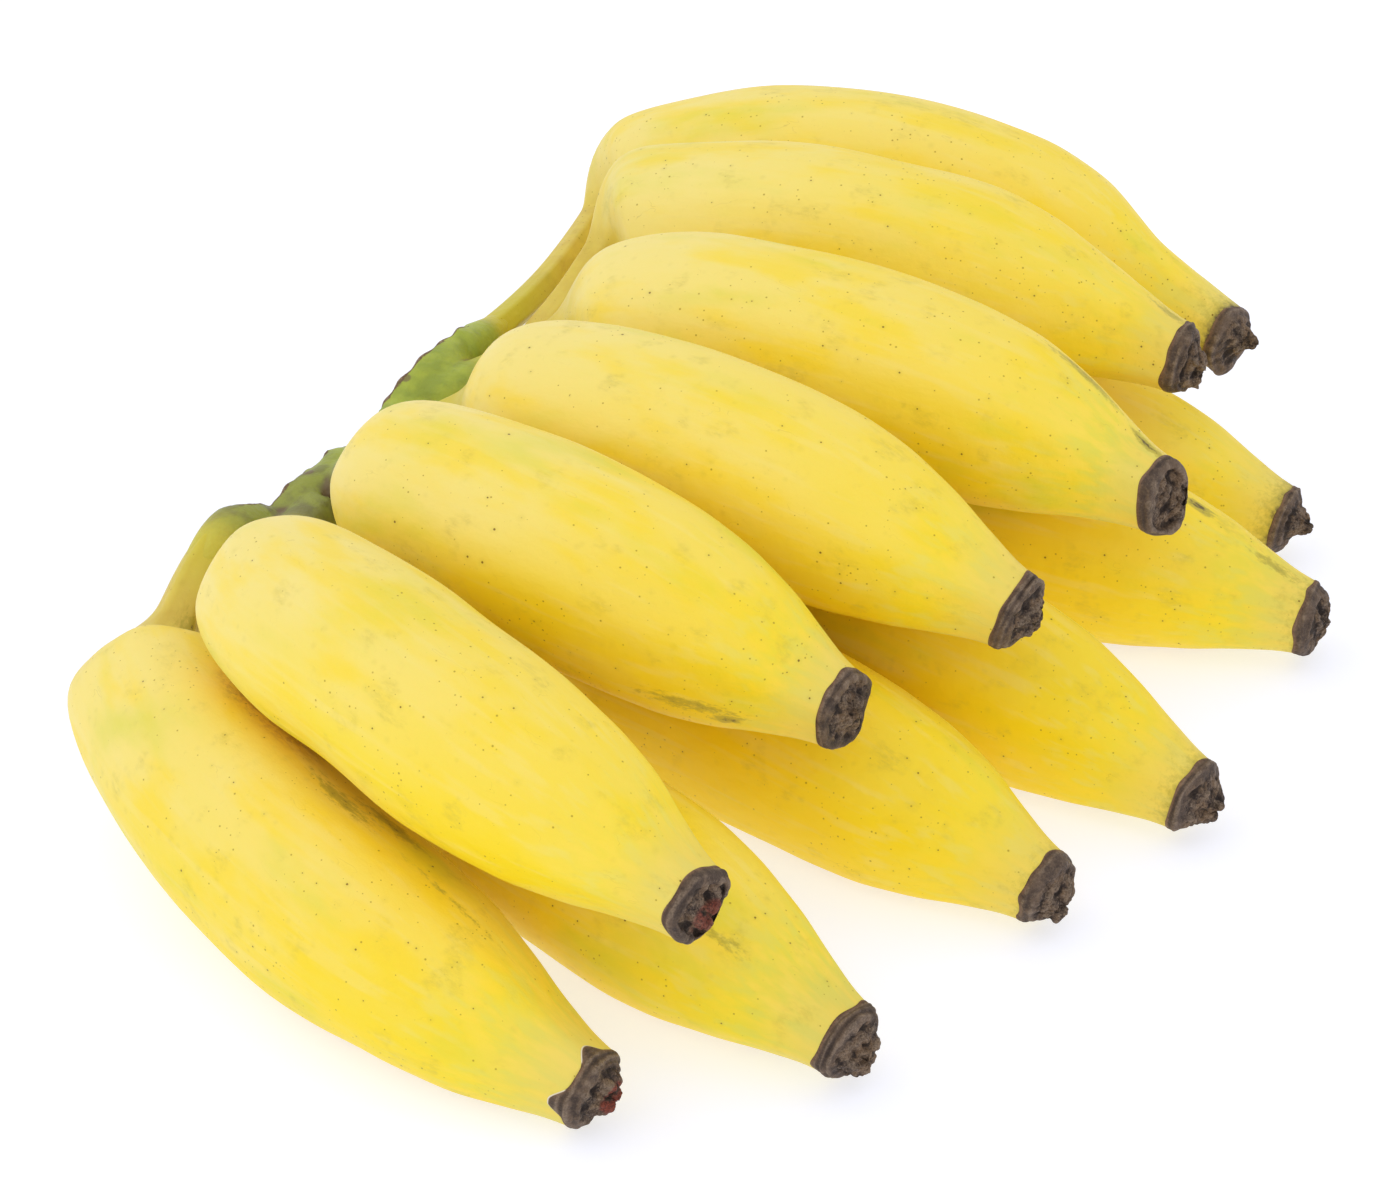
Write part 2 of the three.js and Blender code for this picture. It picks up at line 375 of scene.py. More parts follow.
def set_attribute(mesh: bpy.types.Mesh, name: str, values: np.ndarray) -> None:
    """Store a number or a vector for each of the mesh's points.

    Args:
        mesh: the mesh.
        name: the attribute's name.
        values: a number or a row of three for each point.
    """
    if values.ndim == 2:
        layer = mesh.attributes.new(name, "FLOAT_VECTOR", "POINT")
        layer.data.foreach_set("vector", values.astype(np.float32).ravel())
    else:
        layer = mesh.attributes.new(name, "FLOAT", "POINT")
        layer.data.foreach_set("value", values.astype(np.float32))


def place(mesh: bpy.types.Mesh, material: bpy.types.Material, node: str, slot: Slot) -> bpy.types.Object:
    """Put a finished mesh into the scene in the place of a CAD node.

    Args:
        mesh: the piece's mesh, in place, whose name the piece takes.
        material: its finish.
        node: the CAD node that it stands for.
        slot: the record's material slot; not used.

    Returns:
        The new object.
    """
    mesh.materials.clear()
    mesh.materials.append(material)
    piece = new_object(mesh.name, mesh)
    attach(piece, BODY)
    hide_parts(node)
    log.info("%s: %d faces in place of %s", piece.name, len(mesh.polygons), node)
    return piece


# ---- Node trees ----


class Graph:
    """A node tree, with a short method for each kind of node that the finishes use."""

    def __init__(self, tree: bpy.types.NodeTree) -> None:
        """Work on a tree."""
        self.tree = tree

    def node(
        self, kind: str, inputs: dict[str | int, Socket] | None = None, **settings: Any
    ) -> bpy.types.Node:
        """Add a node.

        Args:
            kind: the node's type.
            inputs: what each named or numbered input is linked or set to.
            settings: properties of the node.

        Returns:
            The node.
        """
        made = self.tree.nodes.new(kind)
        for name, value in settings.items():
            setattr(made, name, value)
        for name, value in (inputs or {}).items():
            if isinstance(value, bpy.types.NodeSocket):
                self.tree.links.new(value, made.inputs[name])
            else:
                made.inputs[name].default_value = value
        return made

    def maths(self, operation: str, *values: Socket) -> Socket:
        """The result of one arithmetic step."""
        return self.node("ShaderNodeMath", dict(enumerate(values)), operation=operation).outputs[0]

    def times(self, first: Socket, second: Socket, plus: Socket = None) -> Socket:
        """first * second, or first * second + plus.

        Args:
            first: a number.
            second: a number.
            plus: a number, or none.

        Returns:
            The result.
        """
        if plus is None:
            return self.maths("MULTIPLY", first, second)
        return self.maths("MULTIPLY_ADD", first, second, plus)

    def summed(self, *terms: tuple[Socket, float]) -> Socket:
        """The sum of values, each times its own factor.

        Args:
            terms: each value and its factor.

        Returns:
            The sum.
        """
        total = None
        for value, factor in terms:
            total = self.times(value, factor, total)
        return total

    def vector_maths(self, operation: str, inputs: dict[str | int, Socket]) -> Socket:
        """The result of one step on vectors."""
        return self.node("ShaderNodeVectorMath", inputs, operation=operation).outputs[0]

    def stretch(self, vector: Socket, factors: Socket) -> Socket:
        """A vector with each part multiplied by its own factor."""
        return self.vector_maths("MULTIPLY", {0: vector, 1: factors})

    def scaled(self, vector: Socket, factor: Socket) -> Socket:
        """A vector times a number."""
        return self.vector_maths("SCALE", {0: vector, "Scale": factor})

    def shifted(self, vector: Socket, by: Point) -> Socket:
        """A vector moved by a fixed amount, so that its noise is another one."""
        return self.vector_maths("ADD", {0: vector, 1: by})

    def step(self, value: Socket, low: Socket, high: Socket, start: float = 0, end: float = 1) -> Socket:
        """A smooth step of a value from start to end, between low and high."""
        inputs = {"Value": value, "From Min": low, "From Max": high, "To Min": start, "To Max": end}
        return self.node("ShaderNodeMapRange", inputs, interpolation_type="SMOOTHSTEP").outputs[0]

    def noise(self, vector: Socket, detail: float = 2, roughness: float = 0.5) -> Socket:
        """Soft noise from 0 to 1, with lumps about as wide as the vector's unit."""
        inputs = {"Vector": vector, "Scale": 1.0, "Detail": detail, "Roughness": roughness}
        return self.node("ShaderNodeTexNoise", inputs).outputs[0]

    def attribute(self, name: str, vector: bool = False) -> Socket:
        """A value that the mesh carries."""
        made = self.node("ShaderNodeAttribute", attribute_name=name)
        return made.outputs["Vector" if vector else "Fac"]

    def layered(self, colour: Socket, *layers: tuple[Socket, Socket]) -> Socket:
        """A colour with others laid over it in turn.

        Args:
            colour: the lowest colour.
            layers: each layer's share, from 0 to 1, and its colour, from the lowest layer up.

        Returns:
            The colour that all of them give.
        """
        for share, over in layers:
            inputs = {0: share, 6: colour, 7: over}
            colour = self.node("ShaderNodeMix", inputs, data_type="RGBA").outputs[2]
        return colour


class EffectGroup:
    """A shader node group that is built the first time it is asked for."""

    name: ClassVar[str]
    inputs: ClassVar[tuple[tuple[str, float | None], ...]]  # a vector where there is no number
    output: ClassVar[str] = "Mask"

    @classmethod
    def on(cls, graph: Graph, **inputs: Socket) -> Socket:
        """The group's output in a graph, given its inputs by their names in small letters."""
        named = {name.capitalize(): value for name, value in inputs.items()}
        return graph.node("ShaderNodeGroup", named, node_tree=cls.tree()).outputs[cls.output]

    @classmethod
    def tree(cls) -> bpy.types.NodeTree:
        """The group's node tree.

        Returns:
            The tree, built now or before.
        """
        found = bpy.data.node_groups.get(cls.name)
        if found:
            return found
        tree = bpy.data.node_groups.new(cls.name, "ShaderNodeTree")
        for name, value in cls.inputs:
            kind = "NodeSocketVector" if value is None else "NodeSocketFloat"
            socket = tree.interface.new_socket(name, in_out="INPUT", socket_type=kind)
            if value is not None:
                socket.default_value = value
        tree.interface.new_socket(cls.output, in_out="OUTPUT", socket_type="NodeSocketFloat")
        graph = Graph(tree)
        entry = graph.node("NodeGroupInput")
        given = {name: entry.outputs[name] for name, _ in cls.inputs}
        graph.node("NodeGroupOutput", {cls.output: cls.wire(graph, given)})
        return tree

    @classmethod
    def wire(cls, graph: Graph, given: dict[str, Socket]) -> Socket:
        """Build the group's inside, and return what it puts out."""
        raise NotImplementedError


class Patches(EffectGroup):
    """Soft blotches: noise of a given size, cut off between two levels."""

    name = "soft_patches"
    inputs = (("Place", None), ("Size", 20.0), ("Low", 0.4), ("High", 0.6), ("Detail", 1.0))

    @classmethod
    def wire(cls, graph: Graph, given: dict[str, Socket]) -> Socket:
        """The smooth step of noise at place / size, from low to high."""
        scaled = graph.scaled(given["Place"], graph.maths("DIVIDE", 1.0, given["Size"]))
        return graph.step(graph.noise(scaled, given["Detail"]), given["Low"], given["High"])


class Specks(EffectGroup):
    """Small dots, one to a cell at most, of different sizes."""

    name = "specks"
    inputs = (("Place", None), ("Spacing", 4.0), ("Radius", 0.3), ("Share", 0.5), ("Core", 0.6))
    SMALLEST: ClassVar[float] = 0.35  # the smallest dot against the given radius; the largest is 1 more

    @classmethod
    def wire(cls, graph: Graph, given: dict[str, Socket]) -> Socket:
        """1 in the core of a drawn radius round a cell's own point, in a share of the cells.

        Args:
            graph: the group's node tree.
            given: the group's inputs by name.

        Returns:
            The mask.
        """
        scaled = graph.scaled(given["Place"], graph.maths("DIVIDE", 1.0, given["Spacing"]))
        cells = graph.node("ShaderNodeTexVoronoi", {"Vector": scaled, "Scale": 1.0})
        drawn = graph.node("ShaderNodeSeparateColor", {0: cells.outputs["Color"]})
        distance = graph.times(cells.outputs["Distance"], given["Spacing"])
        radius = graph.times(given["Radius"], graph.maths("ADD", drawn.outputs[1], cls.SMALLEST))
        dot = graph.step(distance, radius, graph.times(radius, given["Core"]))
        return graph.times(dot, graph.maths("LESS_THAN", drawn.outputs[0], given["Share"]))


class Scratches(EffectGroup):
    """Thin wandering lines, broken off after a while."""

    name = "scratches"
    inputs = (("Place", None), ("Length", 12.0), ("Width", 0.02), ("Share", 0.4))
    WANDER: ClassVar[Point] = (1.6, 1.6, 0.55)  # how densely the lines' noise lies along x, y and z
    BREAKS: ClassVar[Point] = (2.1, 1.9, 1.1)  # and the noise that breaks them off

    @classmethod
    def wire(cls, graph: Graph, given: dict[str, Socket]) -> Socket:
        """1 near a contour of noise stretched along z, where another noise is high.

        Args:
            graph: the group's node tree.
            given: the group's inputs by name.

        Returns:
            The mask.
        """
        scale = graph.maths("DIVIDE", 1.0, given["Length"])
        stretched = graph.scaled(graph.stretch(given["Place"], cls.WANDER), scale)
        height = graph.maths("SUBTRACT", graph.noise(stretched, 3.0, 0.6), 0.5)
        line = graph.step(graph.maths("ABSOLUTE", height), given["Width"], 0.0)
        where = graph.noise(graph.scaled(graph.stretch(given["Place"], cls.BREAKS), scale), 1.0)
        kept = graph.step(where, graph.maths("SUBTRACT", 1.0, given["Share"]), 0.8)
        return graph.times(line, kept)


class Fibres(EffectGroup):
    """Fine fibres that run along z."""

    name = "fibres"
    inputs = (("Place", None), ("Width", 0.8), ("Length", 30.0))
    output = "Height"

    @classmethod
    def wire(cls, graph: Graph, given: dict[str, Socket]) -> Socket:
        """Noise at (x / width, y / width, z / length).

        Args:
            graph: the group's node tree.
            given: the group's inputs by name.

        Returns:
            The height, from 0 to 1.
        """
        across = graph.maths("DIVIDE", 1.0, given["Width"])
        along = graph.maths("DIVIDE", 1.0, given["Length"])
        factors = graph.node("ShaderNodeCombineXYZ", {0: across, 1: across, 2: along}).outputs[0]
        return graph.noise(graph.stretch(given["Place"], factors), 2.0)


def new_material(name: str) -> tuple[bpy.types.Material, Graph, bpy.types.Node]:
    """An empty material, its graph and its shader, which is linked to the output.

    Args:
        name: its name.

    Returns:
        The material, its graph and its shader.
    """
    material = bpy.data.materials.new(name)
    material.use_nodes = True
    material.node_tree.nodes.clear()
    graph = Graph(material.node_tree)
    shader = graph.node("ShaderNodeBsdfPrincipled")
    graph.node("ShaderNodeOutputMaterial", {"Surface": shader.outputs[0]})
    return material, graph, shader


def connect(graph: Graph, shader: bpy.types.Node, colour: Socket, roughness: Socket, height: Socket) -> None:
    """Link a colour, a roughness and a height in millimetres to a shader.

    Args:
        graph: the node tree to build in.
        shader: the shader.
        colour: its base colour.
        roughness: its roughness.
        height: the height of its fine relief.
    """
    graph.tree.links.new(colour, shader.inputs["Base Color"])
    graph.tree.links.new(roughness, shader.inputs["Roughness"])
    bump = graph.node("ShaderNodeBump", {"Height": height, "Distance": MM, "Strength": 1.0})
    graph.tree.links.new(bump.outputs[0], shader.inputs["Normal"])


def fix(shader: bpy.types.Node, **values: Socket) -> None:
    """Set a shader's own sockets; an underscore in a socket's name stands for a space."""
    for name, value in values.items():
        shader.inputs[name.replace("_", " ")].default_value = value


@dataclass(frozen=True)
class PeelFinish:
    """Ripe peel: softly blotched yellow with fine specks, greener and browner towards the stalk."""

    yellow: Colour = (0.93, 0.72, 0.030, 1)
    cream: Colour = (0.92, 0.77, 0.26, 1)
    deep: Colour = (0.96, 0.70, 0.004, 1)
    # painted shade and bounce light in the valleys where the fingers touch
    valley_shade_orange: Colour = (0.89, 0.50, 0.004, 1)
    lime: Colour = (0.66, 0.66, 0.040, 1)
    olive: Colour = (0.44, 0.36, 0.045, 1)
    tan: Colour = (0.76, 0.60, 0.18, 1)
    stalk_gold: Colour = (0.72, 0.56, 0.09, 1)
    stalk_green: Colour = (0.62, 0.53, 0.045, 1)
    rubbed: Colour = (0.48, 0.27, 0.06, 1)
    speck: Colour = (0.17, 0.085, 0.004, 1)
    faint: Colour = (0.40, 0.27, 0.010, 1)
    dried: Colour = (0.075, 0.050, 0.036, 1)
    roughness: tuple[float, float] = (0.46, 0.58)
    subsurface: float = 0.06
    gloss: float = 0.28
    # How strongly the layers of colour show, from 0 to 1.
    painted_sheen_up: float = 0.68  # painted sheen: cream on skin that faces up, towards the light
    stalk_end_cream: float = 0.75  # cream near the stalk
    pale_blotches: float = 0.45
    deep_blotches: float = 0.6
    deep_end: float = 0.6  # deep yellow near the tip
    painted_bounce_beside: float = 0.45  # painted bounce light and shade: deep yellow beside a neighbour
    # painted shade and bounce light where fingers touch each other or the floor
    painted_valley_shade: float = 0.5
    pale_fibres: float = 0.25
    green_crests: float = 0.7
    gold_stalk: float = 0.9
    brown_stalk: float = 0.2
    tan_tip: float = 0.5
    olive_tip: float = 0.65
    smudges: float = 0.35
    rubs: float = 0.6
    mark_halo: float = 0.75
    mark_core: float = 0.85
    spots: float = 0.13
    fine_specks: float = 0.8
    large_specks: float = 0.9
    # How high its relief stands, in millimetres.
    pore_height: float = 0.03
    dimple_height: float = 0.30
    fibre_height: float = 0.05
    speck_height: float = -0.02

    def material(self) -> bpy.types.Material:
        """Build the material.

        Returns:
            A material that reads the attributes straight, stalk, along, up, ridge, touch, near, scar,
            stain, gold and tone.
        """
        material, graph, shader = new_material("ripe_peel")
        straight = graph.attribute("straight", vector=True)
        fibre = Fibres.on(graph, place=straight, width=2.2, length=30.0)
        colour = self.ripe(graph, straight, fibre)
        colour = self.greened(graph, straight, fibre, colour)
        colour = self.at_ends(graph, straight, colour)
        colour = self.worn(graph, straight, colour)
        colour, dots = self.specked(graph, straight, colour)
        height = graph.summed(
            (graph.noise(graph.scaled(straight, 2.2), 2.0), self.pore_height),
            (graph.noise(graph.scaled(straight, 0.22), 2.0), self.dimple_height),
            (fibre, self.fibre_height),
            (dots, self.speck_height),
        )
        connect(graph, shader, colour, graph.step(fibre, 0.3, 0.7, *self.roughness), height)
        fix(shader, Subsurface_Weight=self.subsurface, Subsurface_Radius=(1.0, 0.55, 0.15))
        fix(shader, Subsurface_Scale=2.5 * MM, Specular_IOR_Level=self.gloss)
        return material

    def ripe(self, graph: Graph, straight: Socket, fibre: Socket) -> Socket:
        """Yellow, paler where it faces up as a painted sheen and deeper below, with long soft blotches.

        Args:
            graph: the node tree to build in.
            straight: the place on the finger as if it were straight, in millimetres.
            fibre: the height of the fibres.

        Returns:
            The colour.
        """
        along = graph.attribute("along")
        long_way = graph.stretch(straight, (1.0, 1.0, 0.4))
        other_way = graph.shifted(long_way, (71, 13, 37))
        pale = Patches.on(graph, place=long_way, size=13.0, low=0.42, high=0.66, detail=3.0)
        strong = Patches.on(graph, place=other_way, size=9.0, low=0.45, high=0.68, detail=4.0)
        late = graph.step(along, 0.2, 0.85, 0, self.deep_end)
        return graph.layered(
            self.yellow,
            # painted sheen: cream where the skin faces up
            (graph.step(graph.attribute("up"), -0.2, 0.95, 0, self.painted_sheen_up), self.cream),
            (graph.step(along, 0.4, 0, 0, self.stalk_end_cream), self.cream),
            (graph.times(pale, self.pale_blotches), self.cream),
            (graph.times(strong, self.deep_blotches), self.deep),
            # deeper yellow near the tip and by gold: partly the finger's own tone, partly painted bounce
            # light
            (graph.maths("MAXIMUM", late, graph.attribute("gold_and_bounce")), self.deep),
            # painted bounce light and shade: deeper yellow near other fingers
            (graph.times(graph.attribute("near"), self.painted_bounce_beside), self.deep),
            # painted shade and bounce light: orange where the skin touches
            (graph.times(graph.attribute("touch"), self.painted_valley_shade), self.valley_shade_orange),
            (graph.step(fibre, 0.5, 0.7, 0, self.pale_fibres), self.cream),
        )

    def greened(self, graph: Graph, straight: Socket, fibre: Socket, colour: Socket) -> Socket:
        """Green left in faint clouds, along the ridges and before the tip.

        Args:
            graph: the node tree to build in.
            straight: the place on the finger as if it were straight, in millimetres.
            fibre: the height of the fibres.
            colour: the colour so far.

        Returns:
            The colour.
        """
        tone = graph.attribute("tone")
        place = graph.shifted(graph.stretch(straight, (1.0, 1.0, 0.45)), (-23, 57, 91))
        cloud = Patches.on(graph, place=place, size=13.0, low=0.5, high=0.8, detail=5.0)
        green = graph.times(cloud, graph.times(tone, 0.5, 0.25))
        tip = graph.step(graph.attribute("along"), 0.72, 0.96)
        near_tip = graph.times(tip, graph.times(tone, 0.6, 0.15))
        crest = graph.times(graph.step(graph.attribute("ridge"), 0.6, 1.0), cloud)
        green = graph.maths("MAXIMUM", green, graph.times(near_tip, graph.step(fibre, 0.3, 0.7)))
        green = graph.maths("MAXIMUM", green, graph.times(crest, self.green_crests))
        return graph.layered(colour, (green, self.lime))

    def at_ends(self, graph: Graph, straight: Socket, colour: Socket) -> Socket:
        """Gold, tan and green up the stalk, and brown where the dry flower's colour runs in.

        Args:
            graph: the node tree to build in.
            straight: the place on the finger as if it were straight, in millimetres.
            colour: the colour so far.

        Returns:
            The colour.
        """
        along, stalk = graph.attribute("along"), graph.attribute("stalk")
        mottle = Patches.on(graph, place=straight, size=4.0, low=0.35, high=0.65, detail=4.0)
        ragged = graph.noise(graph.scaled(straight, 0.9), 4.0, 0.65)
        edge = graph.times(ragged, 0.7, graph.attribute("stain"))
        browned = graph.times(graph.step(along, 0, -0.08), graph.times(mottle, self.brown_stalk))
        return graph.layered(
            colour,
            (graph.step(along, 0.05, -0.09, 0, self.gold_stalk), self.stalk_gold),
            (browned, self.rubbed),
            (graph.step(stalk, 1.0, 0.35), self.stalk_green),
            (graph.step(along, 0.87, 1.0, 0, self.tan_tip), self.tan),
            (graph.step(edge, 0.42, 0.8, 0, self.olive_tip), self.olive),
            (graph.step(edge, 0.72, 1.1), self.dried),
        )

    def worn(self, graph: Graph, straight: Socket, colour: Socket) -> Socket:
        """Grey-green smudges, dark marks, and brown rubs and scratches where fingers touch.

        Args:
            graph: the node tree to build in.
            straight: the place on the finger as if it were straight, in millimetres.
            colour: the colour so far.

        Returns:
            The colour.
        """
        touch, scar = graph.attribute("touch"), graph.attribute("scar")
        fine = graph.noise(graph.stretch(straight, (1.1, 1.1, 0.5)), 6.0, 0.7)
        place = graph.shifted(straight, (19, -83, 5))
        where = Patches.on(graph, place=place, size=7.0, low=0.56, high=0.7, detail=3.0)
        smudge = graph.times(where, graph.step(fine, 0.3, 0.8))
        rub = graph.times(graph.step(touch, 0.45, 0.95), graph.step(fine, 0.42, 0.62))
        edge = graph.times(graph.maths("SUBTRACT", fine, 0.5), 1.3, scar)
        edge = graph.times(edge, graph.step(scar, 0.02, 0.12))
        scratch = Scratches.on(graph, place=straight, length=9.0, width=0.006, share=0.42)
        return graph.layered(
            colour,
            (graph.times(smudge, self.smudges), self.olive),
            (graph.times(rub, self.rubs), self.rubbed),
            (graph.step(edge, 0.12, 0.5, 0, self.mark_halo), self.olive),
            (graph.step(edge, 0.55, 0.85, 0, self.mark_core), self.dried),
            (graph.times(scratch, graph.times(touch, 0.7, 0.2)), self.speck),
        )

    def specked(self, graph: Graph, straight: Socket, colour: Socket) -> tuple[Socket, Socket]:
        """Crowds of tiny brown specks and a few larger ones, each on a darker yellow spot.

        Args:
            graph: the node tree to build in.
            straight: the place on the finger as if it were straight, in millimetres.
            colour: the colour so far.

        Returns:
            The colour, and a mask of the larger specks.
        """
        place = graph.shifted(straight, (-47, 29, 3))
        crowd = Patches.on(graph, place=place, size=16.0, low=0.42, high=0.66, detail=2.0)
        crowded = graph.times(crowd, 0.7, 0.08)
        fine = Specks.on(graph, place=straight, spacing=1.2, radius=0.21, share=crowded, core=0.4)
        some = Specks.on(graph, place=place, spacing=2.6, radius=0.22, share=0.36, core=0.5)
        spot = Specks.on(graph, place=place, spacing=2.6, radius=0.9, share=0.36, core=0.1)
        colour = graph.layered(
            colour,
            (graph.times(spot, self.spots), self.olive),
            (graph.times(fine, self.fine_specks), self.faint),
            (graph.times(some, self.large_specks), self.speck),
        )
        return colour, some


@dataclass(frozen=True)
class DryBlossomFinish:
    """The dried flower: a dark grey-brown skin, browner and pitted in its middle, sometimes reddish."""

    skin: Colour = (0.082, 0.055, 0.040, 1)
    wine: Colour = (0.085, 0.024, 0.016, 1)
    brown: Colour = (0.20, 0.125, 0.070, 1)
    black: Colour = (0.016, 0.010, 0.008, 1)
    grey: Colour = (0.30, 0.22, 0.15, 1)
    tan: Colour = (0.24, 0.13, 0.07, 1)
    red: Colour = (0.26, 0.050, 0.028, 1)
    torn: Colour = (0.80, 0.72, 0.55, 1)
    roughness: tuple[float, float] = (0.75, 0.58)
    gloss: float = 0.3
    redness: float = 0.9
    pit_depth: float = 0.1  # in millimetres

    def material(self) -> bpy.types.Material:
        """Build the material.

        Returns:
            A material that reads the attributes straight, middle, high, rim, torn and red.
        """
        material, graph, shader = new_material("dry_blossom_end")
        straight = graph.attribute("straight", vector=True)
        middle, high, rim = graph.attribute("middle"), graph.attribute("high"), graph.attribute("rim")
        cloud = Patches.on(graph, place=straight, size=2.8, low=0.4, high=0.6, detail=4.0)
        pits = Specks.on(graph, place=straight, spacing=1.1, radius=0.3, share=0.5)
        grit = graph.noise(graph.scaled(straight, 2.4), 5.0, 0.7)
        coarse = graph.times(middle, 0.5, 0.25)
        # painted highlight: grey on the raised relief; painted shade: black in the low relief
        raised = graph.times(graph.step(high, 0.6, 1.0), graph.step(grit, 0.35, 0.6, 0.15, 0.55))
        deep = graph.times(graph.step(high, 0.42, 0.08), graph.times(middle, 0.4, 0.4))
        colour = graph.layered(
            self.skin,
            (graph.times(graph.times(middle, 0.55, 0.4), cloud), self.brown),
            (graph.times(graph.step(grit, 0.50, 0.36), coarse), self.black),
            (graph.times(graph.step(grit, 0.51, 0.66), coarse), self.grey),
            (raised, self.grey),
            (graph.times(rim, graph.step(grit, 0.3, 0.6, 0.2, 0.75)), self.tan),
            (deep, self.black),
            (graph.times(pits, graph.step(middle, 0, 1, 0.15, 0.6)), self.black),
            (
                graph.times(graph.attribute("red"), self.redness),
                graph.layered(self.wine, (graph.step(grit, 0.38, 0.56), self.red)),
            ),
            (graph.step(graph.attribute("torn"), 0.25, 0.7), self.torn),
        )
        height = graph.times(grit, graph.times(middle, 0.25, 0.2))
        height = graph.times(pits, -self.pit_depth, height)
        connect(graph, shader, colour, graph.step(cloud, 0, 1, *self.roughness), height)
        fix(shader, Specular_IOR_Level=self.gloss)
        return material


@dataclass(frozen=True)
class CrownFinish:
    """The crown's skin: green, yellower on the stalks, brown and dry along its cut."""

    green: Colour = (0.39, 0.46, 0.04, 1)
    shade: Colour = (0.24, 0.31, 0.030, 1)
    lime: Colour = (0.60, 0.52, 0.042, 1)
    brown: Colour = (0.15, 0.085, 0.04, 1)
    dry: Colour = (0.35, 0.26, 0.15, 1)
    # painted shade: dull olive where the upper fingers lie over the crown
    painted_shade_olive: Colour = (0.17, 0.15, 0.045, 1)
    roughness: tuple[float, float] = (0.5, 0.8)
    subsurface: float = 0.08
    shading: float = 0.7
    creases: float = 0.85
    scars: float = 0.7
    lump_height: float = 0.25  # in millimetres
    fibre_height: float = 0.5  # in millimetres, on the cut

    def material(self) -> bpy.types.Material:
        """Build the material.

        Returns:
            A material that reads Object coordinates and the attributes cut, reach, hollow and aged, the
            painted shade towards -y.
        """
        material, graph, shader = new_material("crown_skin")
        place = graph.scaled(graph.node("ShaderNodeTexCoord").outputs["Object"], 1 / MM)
        cut, reach, hollow = graph.attribute("cut"), graph.attribute("reach"), graph.attribute("hollow")
        mottled = Patches.on(graph, place=place, size=5.0, low=0.4, high=0.65, detail=5.0)
        # painted shade: darker, duller green towards -y, under the upper fingers
        shaded_end = graph.times(graph.attribute("shaded_end"), graph.times(mottled, 0.4, 0.45))
        wander = graph.step(graph.noise(graph.scaled(place, 0.55), 3.0), 0.3, 0.7, -0.25, 0.25)
        ragged = graph.maths("ADD", cut, wander)
        fibres = graph.noise(graph.scaled(place, 0.45), 6.0, 0.7)
        dried = graph.times(graph.step(ragged, 0.5, 0.9), graph.step(fibres, 0.4, 0.62))
        scarred = Specks.on(graph, place=place, spacing=7.0, radius=1.2, share=0.3)
        colour = graph.layered(
            self.green,
            (graph.times(mottled, self.shading), self.shade),
            (shaded_end, self.painted_shade_olive),
            (graph.step(reach, 0, 0.75), self.lime),
            (graph.times(graph.step(hollow, 0.2, 0.8), self.creases), self.brown),
            (graph.step(ragged, 0.3, 0.6), self.brown),
            (dried, self.dry),
            (graph.times(scarred, self.scars), self.brown),
        )
        lumps = graph.noise(graph.scaled(place, 0.8), 3.0)
        height = graph.summed((lumps, self.lump_height), (graph.times(fibres, cut), self.fibre_height))
        connect(graph, shader, colour, graph.step(ragged, 0.3, 0.7, *self.roughness), height)
        fix(shader, Subsurface_Weight=self.subsurface, Subsurface_Radius=(0.5, 1.0, 0.2))
        fix(shader, Subsurface_Scale=1.5 * MM)
        return material


@dataclass(frozen=True)
class FloorFinish:
    """A matt, pale surface that glows, as a light table does."""

    pale: Colour = (0.47, 0.49, 0.62, 1)
    white: Colour = (1, 1, 1, 1)
    roughness: tuple[float, float] = (0.75, 0.85)
    gloss: float = 0.1
    glow: float = 0.60

    def material(self) -> bpy.types.Material:
        """The floor's material, with faint clouds of roughness.

        Returns:
            A material that reads Object coordinates.
        """
        material, graph, shader = new_material("matt_floor")
        place = graph.scaled(graph.node("ShaderNodeTexCoord").outputs["Object"], 30.0)
        rough = graph.step(graph.noise(place), 0.3, 0.7, *self.roughness)
        graph.tree.links.new(rough, shader.inputs["Roughness"])
        fix(shader, Base_Color=self.pale, Specular_IOR_Level=self.gloss)
        fix(shader, Emission_Color=self.white, Emission_Strength=self.glow)
        return material


# ---- Fingers ----


@dataclass(frozen=True)
class Mark:
    """A dark mark on a finger's peel."""

    before_tip: float  # distance from the tip to its middle
    angle: float  # degrees round the finger, as lean_to
    length: float  # half of its length
    width: float  # half of its width
    strength: float


